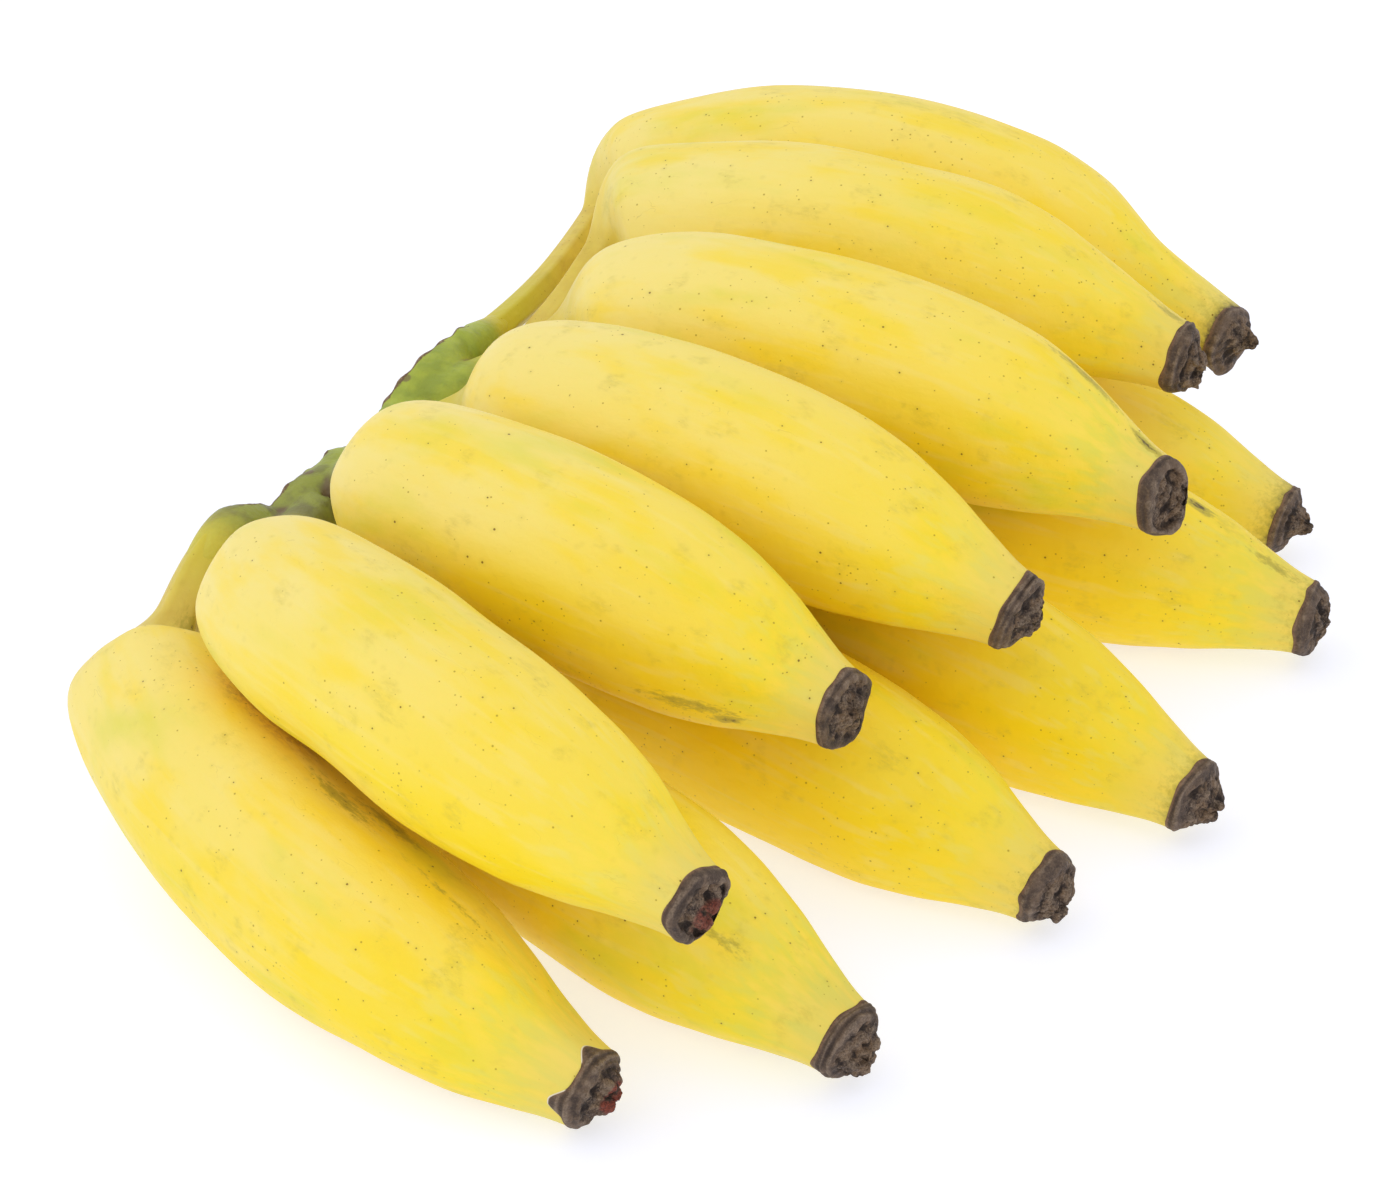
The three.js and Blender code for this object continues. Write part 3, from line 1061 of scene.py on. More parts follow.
@dataclass(frozen=True)
class FingerPlan:
    """Where a finger lies and how it is shaped, as its CAD node has it, and how its flower dried.

    root is the middle of the pedicel's end, sunk in the crown. via is where the pedicel is pulled to on
    its way, knee is where it turns into the fruit, and tip is the middle of the scar. bow and sway are
    how far the fruit arches up and sideways off a straight line. full is how far the shoulder is raised
    from the common profile, where 1 would reach the greatest radius, and neck how much thinner the neck
    is. The rest tells how the flower dried and how the peel has grown older.
    """

    name: str
    root: Point
    via: Point
    knee: Point
    tip: Point
    bow: float
    sway: float
    girth: float
    pedicel: float
    form: BlossomForm
    lean_to: float  # where the blossom end's nub leans, in degrees: 0 is +Y and 90 is down
    lean: float  # how far it leans
    reach: float  # how long it is, against the common profile
    rough: float  # how crumpled it is
    nub: float = 1.0  # how thick it is, against the common profile
    tilt: float = 0.0  # how many degrees the scar's face turns up and towards -Y
    spikes: int = 0  # how many dry points stick out of the nub
    hole: float = 0.0  # how deep a hole is in its middle, in mm
    full: float = 0.0
    neck: float = 0.0
    red: float = 0.0  # how red its middle is
    torn: float = 0.0  # how far the peel's rim has torn back, in mm
    stain: float = 0.0  # how much its brown runs into the peel
    tone: float = 0.3  # how green the peel still is
    gold_and_bounce: float = 0.0  # how deep its yellow is: partly its own tone, partly painted bounce light under the upper fingers
    eased: int = 14  # how many times the knee is rounded
    flare: float = 0.05  # share of the fruit's length over which the pedicel widens to it
    greened: float = 34.0  # how far up the pedicel is green, in mm
    marks: tuple[Mark, ...] = ()

    knee_reach: float = 10.0
    shoulder_reach: float = 16.0
    knee_share: float = 0.7  # the most of the way to via that the knee may take

    tilt_to: float = math.radians(238)  # the angle that a tilted scar's face turns to
    tilt_over: float = 15.0  # length of peel before the tip over which the tilt grows
    tilt_past: float = 1.0  # length past the tip at which it is whole
    ahead: float = 0.8  # how far the peel goes on past its CAD node's end

    @property
    def rests(self) -> bool:
        """Whether the finger lies on the floor."""
        return self.name.startswith("lower")

    def curves(self) -> list[np.ndarray]:
        """The pedicel, the knee and the arched fruit, each a quadratic curve's points.

        Returns:
            The three curves, each starting where the one before it ends.
        """
        root, via, knee, tip = (np.array(p, float) for p in (self.root, self.via, self.knee, self.tip))
        along = unit(tip - knee)
        side = unit(np.cross(UP, along))
        crest = (knee + tip) / 2 + 2 * self.bow * np.cross(along, side) + 2 * self.sway * side
        reach = min(self.knee_reach, self.knee_share * np.linalg.norm(knee - via))
        before = knee + reach * unit(via - knee)
        after = knee + self.shoulder_reach * unit(crest - knee)
        return [quadratic(root, via, before), quadratic(before, knee, after), quadratic(after, crest, tip)]


FINGERS = (
    FingerPlan(
        "upper_1", (-76.5, 20.8, 44), (-77.5, 50.8, 38.5), (-92.5, 103.8, 35), (39.6, 121.9, 31.4),
        bow=13.2, sway=4.5, girth=37.5, pedicel=5.8, full=0.75, neck=0.32, eased=5,
        form=BlossomForm.POINT, lean_to=320, lean=2.4, reach=1.0, rough=0.3, tilt=20, stain=0.9, tone=0.5,
        nub=0.6, greened=60,
    ),
    FingerPlan(
        "upper_2", (-73.5, 11.8, 35), (-70.5, 43.8, 38), (-73, 73.3, 47.5), (43, 91.4, 42.9),
        bow=7.3, sway=0, girth=37, pedicel=6, full=0.8, neck=0.1, eased=5,
        form=BlossomForm.FOLD, lean_to=40, lean=1.8, reach=1.1, rough=0.8, tilt=10, spikes=3, tone=0.3,
        marks=(Mark(4, 285, 4, 1.5, 0.6),),
    ),
    FingerPlan(
        "upper_3", (-72.5, 5.8, 41), (-65.5, 19.8, 45), (-56.5, 34.8, 50), (63.4, 41.9, 43.5),
        bow=8, sway=-1, girth=38, pedicel=7, full=0.4, eased=6,
        form=BlossomForm.DISC, lean_to=20, lean=2.0, reach=1.2, rough=0.7, tilt=26, spikes=3, hole=0.8,
        tone=0.9, marks=(Mark(21, 290, 9, 1.1, 0.75), Mark(4.5, 283, 4, 1, 0.85)),
    ),
    FingerPlan(
        "upper_4", (-72.5, -9.2, 36), (-65.5, -7.2, 44), (-53.5, -4.2, 53), (58.7, -8.2, 44.7),
        bow=7, sway=-2, girth=38, pedicel=8, full=0.15, eased=9,
        form=BlossomForm.FOLD, lean_to=50, lean=1.8, reach=0.8, rough=0.8, tilt=3, spikes=4, tone=0.4,
        nub=0.8,
    ),
    FingerPlan(
        "upper_5", (-72.5, -22.2, 37), (-66.5, -28.2, 45), (-56.5, -40.2, 54), (47, -50.1, 43.5),
        bow=7.5, sway=-5, girth=38, pedicel=8, full=0.2,
        form=BlossomForm.DISC, lean_to=0, lean=1.0, reach=0.5, rough=0.7, tilt=19, hole=1.2, tone=0.6,
        marks=(Mark(22, 157, 9, 1.8, 0.55), Mark(15, 148, 2.5, 1.2, 0.8)),
    ),
    FingerPlan(
        "upper_6", (-71.5, -34.2, 37), (-69.5, -56.2, 40), (-56.5, -79, 52.8), (53.4, -112.5, 42.5),
        bow=6.3, sway=-5.2, girth=36.6, pedicel=8, full=0.35,
        form=BlossomForm.DISC, lean_to=60, lean=2.0, reach=0.9, rough=0.8, tilt=11, red=0.8, tone=0.3,
    ),
    FingerPlan(
        "lower_1", (-79, -44.2, 36), (-79.3, -52.7, 48.5), (-80.3, -77.2, 23), (41, -126.2, 9),
        bow=3.5, sway=-10.3, girth=38, pedicel=8.6, full=0.85,
        form=BlossomForm.CONE, lean_to=35, lean=2.4, reach=0.95, rough=0.8, red=1.0, torn=1.0, tone=0.7,
        eased=3, flare=0.095, greened=30, gold_and_bounce=0.1,
        marks=(
            Mark(64, 285, 9, 2, 0.6), Mark(55, 300, 8, 2, 0.65),
            Mark(34, 283, 13, 0.7, 0.35), Mark(141, 330, 4, 3, 0.6),
        ),
    ),
    FingerPlan(
        "lower_2", (-73.5, -34.2, 26), (-63.5, -46.2, 26), (-44.5, -61.2, 18.5), (72.1, -93.6, 9.3),
        bow=3.5, sway=-2, girth=37, pedicel=8,
        form=BlossomForm.FOLD, lean_to=60, lean=3.0, reach=0.9, rough=0.7, hole=0.6, tone=0.9,
        gold_and_bounce=0.6, marks=(Mark(22, 234, 5, 1, 0.5),),
    ),
    FingerPlan(
        "lower_3", (-72.5, -22.2, 24), (-58.5, -22.2, 26), (-38.5, -19.2, 18), (80.7, -36.4, 9.3),
        bow=3.5, sway=0, girth=37.5, pedicel=8,
        form=BlossomForm.CONE, lean_to=62, lean=2.8, reach=0.8, rough=0.7, stain=0.3, tone=0.2,
        gold_and_bounce=0.85,
    ),
    FingerPlan(
        "lower_4", (-72.5, -9.2, 22), (-56.5, -2.2, 26), (-29.5, 17.8, 18), (90.7, 2.6, 9.3),
        bow=3.5, sway=1, girth=37.5, pedicel=8, neck=0.05,
        form=BlossomForm.POINT, lean_to=45, lean=2.2, reach=0.9, rough=0.7, hole=1.2, stain=0.5, tone=0.3,
        gold_and_bounce=0.85,
    ),
    FingerPlan(
        "lower_5", (-72.5, 3.8, 25), (-58.5, 19.8, 26), (-34.5, 51.8, 18), (83.8, 67.2, 9.3),
        bow=3.5, sway=-2, girth=37, pedicel=8,
        form=BlossomForm.CONE, lean_to=20, lean=1.4, reach=0.5, rough=0.5, tilt=8, stain=0.35, tone=0.7,
        gold_and_bounce=0.75, marks=(Mark(25, 281, 3, 1.4, 1), Mark(8, 270, 5, 1.5, 0.55)),
    ),
    FingerPlan(
        "lower_6", (-73.5, 18.8, 28), (-67.5, 45.8, 23), (-50.5, 86.8, 15.4), (64.6, 97.9, 9.3),
        bow=3.5, sway=1, girth=34.5, pedicel=7.2,
        form=BlossomForm.POINT, lean_to=15, lean=2.0, reach=1.0, rough=0.6, spikes=3, stain=0.7, tone=0.1,
        nub=0.85, gold_and_bounce=0.4,
    ),
)


@dataclass
class Finger:
    """A finger: its fruit and pedicel as one skin along a middle line."""

    plan: FingerPlan
    seed: int
    line: Line = field(init=False)
    start: float = field(init=False)  # how far along the line the fruit starts

    sides: int = 84
    ring_step: float = 0.9
    # Share of the fruit's length, share of its greatest radius.
    profile: tuple[tuple[float, float], ...] = (
        (0, 0.56), (0.03, 0.72), (0.07, 0.84), (0.13, 0.925), (0.22, 0.98), (0.38, 1), (0.54, 0.985),
        (0.64, 0.95), (0.74, 0.87), (0.84, 0.71), (0.91, 0.54), (0.96, 0.43), (1, 0.39),
    )
    profile_spread: float = 2.2  # length over which the profile is averaged
    shoulder_spread: float = 0.12  # share of the length over which a fuller shoulder dies out
    neck: tuple[float, float] = (0.86, 0.1)  # place and spread of a thinner neck
    narrowed: float = 0.04  # how much thinner the tip is than the CAD node's
    sunk: tuple[float, float] = (11.0, 0.35)  # length in the crown, and how thin it starts

    ridges: int = 5
    second_ridge: float = 0.25  # height of the waves twice as narrow that sharpen a ridge
    ridge_height: float = 0.018  # against the radius, in the fruit's middle
    tip_ridge: float = 0.026  # what is added to it at the tip
    stalk_ridge: float = 0.05  # what is added to it on the pedicel
    # Shares of the fruit's length between which these set in, and over which the tip narrows.
    tip_ridge_range: tuple[float, float] = (0.68, 0.95)
    stalk_ridge_range: tuple[float, float] = (0.08, -0.06)
    narrowed_range: tuple[float, float] = (0.92, 1)
    lumps: Waves = Waves(10, (0, 3), (28, 90), 0.22)
    lumpy_radius: float = 15.0  # radius below which the lumps are lower

    knee_spread: float = 13.0  # length over which the knee is rounded
    knee_pull: float = 0.6
    stain_length: float = 2.6  # length over which the flower's brown fades into the peel
    pattern_step: float = 1000.0  # distance between two fingers' patterns, so that no two are alike

    gap_step: float = 2.5  # distance between the places where gaps are measured
    free: tuple[float, float] = (34, 48)  # places along the line between which contact sets in
    clearance: float = 0.1  # gap that pressing leaves
    press_ease: float = 0.3
    most_pressed: float = 2.0
    touch_spread: float = 3.2  # gap up to which the peel is marked as touching
    near_spread: float = 8.0  # gap up to which it is marked as near
    floor_spread: float = 2.5  # height up to which it is marked as touching the floor
    floor_ease: float = 0.35
    cut_depth: float = 0.9  # how far in front of the crown's cut the pedicel stays
    cut_reach: tuple[float, float] = (14, 9)  # places along the line between which that sets in
    tip_dent: float = 4.0  # how far the skin's last point lies inside the blossom end

    def __post_init__(self) -> None:
        """Lay the middle line and find where the fruit starts."""
        curves = self.plan.curves()
        self.line = Line(np.concatenate([curves[0], curves[1][1:], curves[2][1:]]))
        self.start = lengths_along(curves[0])[-1] + lengths_along(curves[1])[-1] / 2

    def share(self, places: np.ndarray) -> np.ndarray:
        """Distances along the line as shares of the fruit's length, below 0 on the pedicel."""
        return (places - self.start) / (self.line.length - self.start)

    def radius(self, places: np.ndarray) -> np.ndarray:
        """Half of the girth at distances along the line.

        The fruit's is profile^(1 - full * bell) * (1 - neck * bell) of its greatest radius, with the
        bells at the shoulder and the neck. Before it, the pedicel keeps its own radius. Both are
        joined by straight lines, then run through a bell-shaped average.

        Args:
            places: distances along the line.

        Returns:
            The radii.
        """
        shares, girths = np.transpose(self.profile)
        girths = girths ** (1 - self.plan.full * bell(shares, 0, self.shoulder_spread))
        girths = girths * (1 - self.plan.neck * bell(shares, *self.neck)) * self.plan.girth / 2
        known = self.start + shares * (self.line.length - self.start)
        thin = self.start - self.plan.flare * (self.line.length - self.start)
        known = np.concatenate([[0, thin], known])
        girths = np.concatenate([[self.plan.pedicel / 2] * 2, girths])
        even = self.line.distances
        spread = self.profile_spread / Line.STEP
        smooth = soften(np.interp(even, known, girths)[:, None], spread)[:, 0]
        return np.interp(places, even, smooth)

    def section(self, places: np.ndarray, angle: np.ndarray) -> tuple[np.ndarray, np.ndarray]:
        """The skin's radius and its ridges at places along the line and angles round it.

        A radius is girth * (1 + height * ridge) + lumps, where ridge is cos 5a + cos 10a / 4, divided
        by its greatest value, at the angle a from a ridge, and height grows towards both ends.

        Args:
            places: distances along the line, of any shape.
            angle: angles, of the same shape.

        Returns:
            The radii, and the ridges up to 1.
        """
        draw = np.random.default_rng(self.seed)
        share = self.share(places)
        turn = angle - draw.uniform(0, TURN / self.ridges)
        ridge = np.cos(self.ridges * turn) + self.second_ridge * np.cos(2 * self.ridges * turn)
        ridge = ridge / (1 + self.second_ridge)
        height = self.ridge_height + self.tip_ridge * rise(share, *self.tip_ridge_range)
        height += self.stalk_ridge * fall(share, *self.stalk_ridge_range)
        sunk, taper = self.sunk
        girth = self.radius(places) * (taper + (1 - taper) * rise(places, 0, sunk))
        girth *= 1 - self.narrowed * rise(share, *self.narrowed_range)
        lumps = self.lumps.over(angle, places, draw) * np.minimum(girth / self.lumpy_radius, 1)
        return girth * (1 + height * ridge) + lumps, ridge

    def skin(self) -> tuple[np.ndarray, dict[str, np.ndarray]]:
        """The skin before it is pressed against its neighbours.

        Returns:
            The rings of points, and each point's attributes by name.
        """
        plan = self.plan
        rings = int(self.line.length / self.ring_step)
        places = np.linspace(0, self.line.length, rings)
        along, angle = ring_grid(places, self.sides)
        radius, ridge = self.section(along, angle)
        points = self.line.tube(places, radius * np.cos(angle), radius * np.sin(angle))
        points = self.ease_knee(points, places) + self.tilted(along, radius, angle)
        girth = self.radius(along)
        aside = self.pattern_step * self.seed
        return points, {
            "straight": np.stack([girth * np.cos(angle) + aside, girth * np.sin(angle), along], -1),
            "along": self.share(along),
            "stalk": along / plan.greened,
            "ridge": ridge,
            "gold_and_bounce": np.full(angle.shape, plan.gold_and_bounce),
            "tone": np.full(angle.shape, plan.tone),
            "stain": plan.stain * np.exp(-((self.line.length - along) / self.stain_length)),
            "scar": self.marked(along, angle),
        }

    def marked(self, places: np.ndarray, angle: np.ndarray) -> np.ndarray:
        """How strong the finger's marks are: the strongest of their bells.

        A bell is strength * exp(-(d / length)^2 - (b / width)^2), where d is the distance along the
        finger from the mark's middle and b is the distance round it.

        Args:
            places: the points' distances along the line.
            angle: their angles round it.

        Returns:
            Strengths from 0 to 1.
        """
        strongest = np.zeros_like(places)
        for mark in self.plan.marks:
            beside = turned_from(angle, math.radians(mark.angle))
            across = bell(beside * self.radius(places), 0, mark.width)
            along = bell(self.line.length - places, mark.before_tip, mark.length)
            strongest = np.maximum(strongest, mark.strength * across * along)
        return strongest

    def tilted(self, places: np.ndarray, radius: np.ndarray, angle: np.ndarray) -> np.ndarray:
        """How far points move along the tip's direction so that the scar's face is tilted.

        It is ahead - tan(tilt) * radius * cos(angle - tilt_to), and grows from 0 before the tip.

        Args:
            places: the points' distances along the line.
            radius: their distances from it.
            angle: their angles round it.

        Returns:
            The moves.
        """
        end = self.line.length
        grown = rise(places, end - self.plan.tilt_over, end + self.plan.tilt_past)
        turned = math.tan(math.radians(self.plan.tilt)) * radius * np.cos(angle - self.plan.tilt_to)
        shift = self.plan.ahead - turned
        return (grown * shift)[..., None] * self.line.tangents[-1]

    def ease_knee(self, points: np.ndarray, places: np.ndarray) -> np.ndarray:
        """Round the skin at the knee: move points towards the mean of their four neighbours.

        Args:
            points: rings of points, which are changed.
            places: each ring's distance along the line.

        Returns:
            The points.
        """
        pull = self.knee_pull * bell(places, self.start, self.knee_spread)[1:-1, None, None]
        for _ in range(self.plan.eased):
            around = np.roll(points, 1, axis=1) + np.roll(points, -1, axis=1)
            mean = (around[1:-1] + points[:-2] + points[2:]) / 4
            points[1:-1] += pull * (mean - points[1:-1])
        return points

    def gaps(self, points: np.ndarray, others: list["Finger"]) -> np.ndarray:
        """How far points are from the skins of other fingers, taken as round.

        The gap is the least, over the places along the other lines, of the distance to the line less
        the radius there.

        Args:
            points: rings of points.
            others: the other fingers.

        Returns:
            The gaps, negative inside another finger.
        """
        middles, radii = [], []
        for other in others:
            places = np.arange(0, other.line.length, self.gap_step)
            middles.append(other.line.frames(places)[0])
            radii.append(other.radius(places))
        middle, radius = np.concatenate(middles), np.concatenate(radii)
        flat = points.reshape(-1, 3)
        square = (flat**2).sum(1)[:, None] + (middle**2).sum(1) - 2 * flat @ middle.T
        return (np.sqrt(np.maximum(square, 0)) - radius).min(1).reshape(points.shape[:2])

    def pressed(self, points: np.ndarray, places: np.ndarray, gap: np.ndarray) -> np.ndarray:
        """The skin drawn in towards its middle line where it would cut into a neighbour.

        The push is (v + sqrt(v^2 + ease^2)) / 2 of v = clearance - gap, up to a limit.

        Args:
            points: rings of points.
            places: their distances along the line.
            gap: how far they are from the other fingers.

        Returns:
            The moved points.
        """
        inward = self.line.frames(places[:, 0])[0][:, None] - points
        inward /= np.maximum(np.linalg.norm(inward, axis=-1, keepdims=True), self.clearance)
        push = np.minimum(above(self.clearance - gap, self.press_ease), self.most_pressed)
        return points + (push * rise(places, *self.free))[..., None] * inward

    def build_peel(self, others: list["Finger"], crown: "Crown", finish: bpy.types.Material) -> None:
        """Make the peel, pressed flat where it touches a neighbour or the floor.

        Args:
            others: the other fingers of the hand.
            crown: the crown, whose cut the pedicel's sunk end stays in front of.
            finish: the peel's material.
        """
        points, attributes = self.skin()
        places = attributes["straight"][..., 2]
        gap = self.gaps(points, others)
        points = self.pressed(points, places, gap)
        free = rise(places, *self.free)
        # touch marks real rubs and scratches, and the painted shade where the skins meet
        touch = bell(np.maximum(gap, 0), 0, self.touch_spread) * free
        # near: closeness to other fingers, for painted bounce light and shade
        near = bell(np.maximum(gap, 0), 0, self.near_spread) * free
        # which way the skin faces, for the peel's painted sheen on top
        up = grid_normals(points)[..., 2]
        # resting fingers touch the floor too, for rubs and painted contact shade
        if self.plan.rests:
            touch = np.maximum(touch, bell(points[..., 2], 0, self.floor_spread) * free)
            points[..., 2] = above(points[..., 2], self.floor_ease)
        behind = np.maximum(self.cut_depth - crown.from_cut(points), 0) * fall(places, *self.cut_reach)
        points = points + behind[..., None] * crown.cut_normal
        middles = with_middles(points)
        middles[-1] -= self.tip_dent * self.line.tangents[-1]
        mesh = new_mesh("peel_" + self.plan.name, middles, tube_faces(*points.shape[:2]))
        for name, values in {**attributes, "touch": touch, "near": near, "up": up}.items():
            set_attribute(mesh, name, with_middles(values))
        place(mesh, finish, "finger_" + self.plan.name, Slot.PEEL)


@dataclass(frozen=True)
class Flap:
    """A flap of dry skin that stands out from a blossom end."""

    height: float
    turn: float  # its angle from a given direction
    spread: float
    out: float  # its distance from the scar
    length: float

    def over(self, turned: np.ndarray, out: np.ndarray) -> np.ndarray:
        """Its height at angles from the direction and distances out: a bell in each."""
        return self.height * bell(turned, self.turn, self.spread) * bell(out, self.out, self.length)


@dataclass
class BlossomEnd:
    """The dried remains of the flower: a skin that goes on from the peel, and a crumpled middle.

    Along its profile a point has a share, its radius against the scar's, which is 1 at the rim and 0 in
    the middle, and out, its distance from the scar.
    """

    finger: Finger

    rings: int = 88
    sides: int = 120
    seed: int = 500  # what is added to the finger's own
    pattern_step: float = 100.0  # distance between two blossom ends' patterns
    outline_spread: float = 1.8  # rings over which the profile is averaged
    skin: float = 0.14  # how far its rim stands above the peel
    nub_from: float = 2.0  # distance from the scar at which the nub begins
    floor_gap: float = 0.3  # how near to the floor a resting finger's blossom end comes
    floor_ease: float = 0.2
    over_rim: float = 1.6  # distance from the rim over which its own relief sets in
    middle: tuple[float, float] = (0.90, 0.62)  # shares between which the middle sets in

    rim: Waves = Waves(9, (1, 9), (40, 80), 0.22)
    rim_reach: tuple[float, float] = (2.6, -0.2)  # distances out over which it dies out
    rim_back: float = 0.25  # how far back along the peel the rim lies on average
    rim_limits: tuple[float, float] = (-2.4, 0.15)  # how far back and how far forth it goes
    rim_ease: float = 0.5
    collar: float = 1.4  # distance from the scar over which the skin leaves the peel's radius
    tear: Waves = Waves(4, (2, 4), (60, 90), 0.8)

    nub: tuple[float, float] = (0.8, 0.4)  # shares between which the nub's thickness sets in
    leaning: tuple[float, float] = (0.95, 0.35)  # shares between which its lean grows
    lobed: tuple[float, float] = (0.92, 0.55)  # shares between which the lobes grow
    three_lobes: float = 0.14  # how far the middle is from round
    upper_flap: Flap = Flap(1.0, 0, 0.42, 1.9, 1.3)
    side_flap: Flap = Flap(0.9, 0.6, 0.35, 3.4, 1.0)
    hole: tuple[float, float] = (0.2, 0.16)  # its share from the middle, and its spread
    spike_length: tuple[float, float] = (0.7, 1.3)  # shortest and longest
    spike_share: tuple[float, float] = (0.38, 0.66)  # shares between which they stand
    spike_fan: float = 1.1  # angle from the nub's lean within which spikes stand
    spike_spread: tuple[float, float] = (0.3, 0.1)  # in angle and in share

    swells: Waves = Waves(7, (1, 4), (6, 15), 0.20)
    grooves: Waves = Waves(16, (7, 22), (10, 40), 0.10)
    outer_grooves: float = 0.35  # how high grooves are on the collar, against the middle
    wrinkles: Waves = Waves(7, (0, 2), (0.9, 2.2), 0.15)
    folds: Crumple = Crumple(5, (2.0, 4.2), 1.0)
    creases: Crumple = Crumple(11, (0.8, 1.9), 0.32)
    outer_creases: float = 0.12
    sunk: float = 0.2  # how far the crumpled middle sinks on average
    moat: tuple[float, float, float] = (0.68, 0.07, 0.6)  # share, spread, depth in mm
    moat_shallows: float = 0.4  # half of the share by which it is shallower on two sides of the nub
    deepest: float = 0.7  # the most of its distance out that the skin may sink

    # Where its colours lie: the middle and spread, or the ends, of a range.
    rim_band: tuple[float, float] = (-0.25, 0.45)  # distance out from the rim
    torn_band: tuple[float, float] = (-0.4, 0.28)
    torn_back: tuple[float, float] = (0, -0.8)  # how far the rim has moved where it looks torn
    red_core: tuple[float, float] = (0.45, 0.36)  # share
    red_side: tuple[float, float] = (0.66, 0.55)  # share, on the side that the nub leans to
    red_turn: float = 1.0  # angle over which that side fades
    red_folds: tuple[float, float] = (-0.55, -0.15)  # height of the folds
    # How high the relief of wrinkles, grooves and moat counts in the colours.
    relief: tuple[float, float, float] = (2.0, 1.5, 0.5)
    mean_relief: float = 0.55

    # Every profile starts under the rim and goes on over it. A row is a share and a distance out.
    UNDER_RIM: ClassVar[tuple[tuple[float, float], ...]] = ((0.88, -0.5), (0.97, -0.5), (1.00, -0.3))
    PROFILES: ClassVar[dict[BlossomForm, tuple[tuple[float, float], ...]]] = {
        BlossomForm.CONE: (
            (1.00, 0.3), (0.96, 0.9), (0.90, 1.5), (0.82, 2.0), (0.71, 2.4), (0.60, 2.8), (0.50, 3.3),
            (0.40, 3.9), (0.29, 4.4), (0.16, 4.7), (0.04, 4.7),
        ),
        BlossomForm.DISC: (
            (1.01, 0.3), (0.98, 0.9), (0.93, 1.4), (0.86, 1.7), (0.76, 1.7), (0.66, 1.4), (0.55, 1.3),
            (0.46, 1.7), (0.36, 2.3), (0.26, 2.8), (0.15, 3.0), (0.04, 2.9),
        ),
        BlossomForm.POINT: (
            (1.00, 0.3), (0.95, 0.9), (0.87, 1.4), (0.76, 1.8), (0.63, 2.2), (0.50, 2.7), (0.39, 3.4),
            (0.31, 4.2), (0.24, 4.8), (0.15, 5.2), (0.04, 5.3),
        ),
        BlossomForm.FOLD: (
            (1.00, 0.3), (0.97, 1.0), (0.91, 1.6), (0.82, 2.2), (0.71, 2.6), (0.61, 2.9), (0.52, 3.4),
            (0.43, 4.1), (0.32, 4.7), (0.18, 5.0), (0.04, 4.9),
        ),
    }

    @property
    def lean_to(self) -> float:
        """The angle that the nub leans to."""
        return math.radians(self.finger.plan.lean_to)

    def outline(self) -> tuple[np.ndarray, np.ndarray]:
        """Shares of the scar's radius and distances from it, evenly spaced along the profile.

        Returns:
            The shares, and the distances out.
        """
        known = np.array(self.UNDER_RIM + self.PROFILES[self.finger.plan.form])
        known[:, 1] += (self.finger.plan.reach - 1) * np.maximum(known[:, 1] - self.nub_from, 0)
        rows = columns_at(np.linspace(0, 1, self.rings), np.linspace(0, 1, len(known)), known)
        return soften(rows, self.outline_spread).T

    def wandering_rim(self, angle: np.ndarray, draw: np.random.Generator) -> np.ndarray:
        """How far the rim moves forth along the finger at each angle, eased at its foremost place.

        Args:
            angle: the points' angles.
            draw: where random numbers come from.

        Returns:
            The moves in millimetres.
        """
        level = np.zeros_like(angle)
        torn = self.finger.plan.torn
        rim = self.rim.over(angle, level, draw) + torn * self.tear.over(angle, level, draw)
        back, forth = self.rim_limits
        return forth - above(forth - np.maximum(rim - self.rim_back, back), self.rim_ease)

    def spikes(self, angle: np.ndarray, share: np.ndarray, draw: np.random.Generator) -> np.ndarray:
        """How far the nub's dry points stick out: narrow bells in angle and in share.

        Args:
            angle: the points' angles.
            share: their shares.
            draw: where random numbers come from.

        Returns:
            The lengths in millimetres.
        """
        in_angle, in_share = self.spike_spread
        total = np.zeros_like(angle)
        for _ in range(self.finger.plan.spikes):
            beside = turned_from(angle, self.lean_to + draw.uniform(-self.spike_fan, self.spike_fan))
            where = draw.uniform(*self.spike_share)
            length = draw.uniform(*self.spike_length)
            total += length * bell(beside, 0, in_angle) * bell(share, where, in_share)
        return total

    def surface(self, draw: np.random.Generator) -> tuple[np.ndarray, ...]:
        """The blossom end's skin before it is crumpled.

        A point lies at out along the finger's last direction and at radius from an axis that is moved
        sideways by lean, the more the smaller its share is. The rim wanders back and forth along the
        peel and follows its surface.

        Args:
            draw: where random numbers come from.

        Returns:
            Rings of points, their angles, shares and distances out, and how far the rim has moved at
            each angle.
        """
        finger, plan = self.finger, self.finger.plan
        (share, angle), (out, _) = (ring_grid(values, self.sides) for values in self.outline())
        outside = out >= 0
        rim = self.wandering_rim(angle, draw)
        out = out + rim * fall(out, *self.rim_reach)
        over_peel = 1 + (share - 1) * rise(out, 0, self.collar)
        share = np.where(outside, np.maximum(share, over_peel), share)
        places = finger.line.length + np.minimum(out, 0)
        radius = share * (finger.section(places, angle)[0] + self.skin)
        radius *= 1 + (plan.nub - 1) * fall(share, *self.nub)
        lobes = fall(share, *self.lobed) * np.cos(3 * angle + draw.uniform(0, TURN))
        radius *= 1 + self.three_lobes * lobes
        if plan.form is BlossomForm.FOLD:
            radius += self.upper_flap.over(turned_from(angle, -math.pi / 2), out)
            radius += self.side_flap.over(turned_from(angle, self.lean_to), out)
        out = out + self.spikes(angle, share, draw)
        where, spread = self.hole
        hole = bell(share * np.cos(angle - plan.tilt_to), where, spread)
        hole *= bell(share * np.sin(angle - plan.tilt_to), 0, spread)
        lean = plan.lean * fall(share, *self.leaning)
        across = radius * np.cos(angle) + lean * math.cos(self.lean_to)
        below = radius * np.sin(angle) + lean * math.sin(self.lean_to)
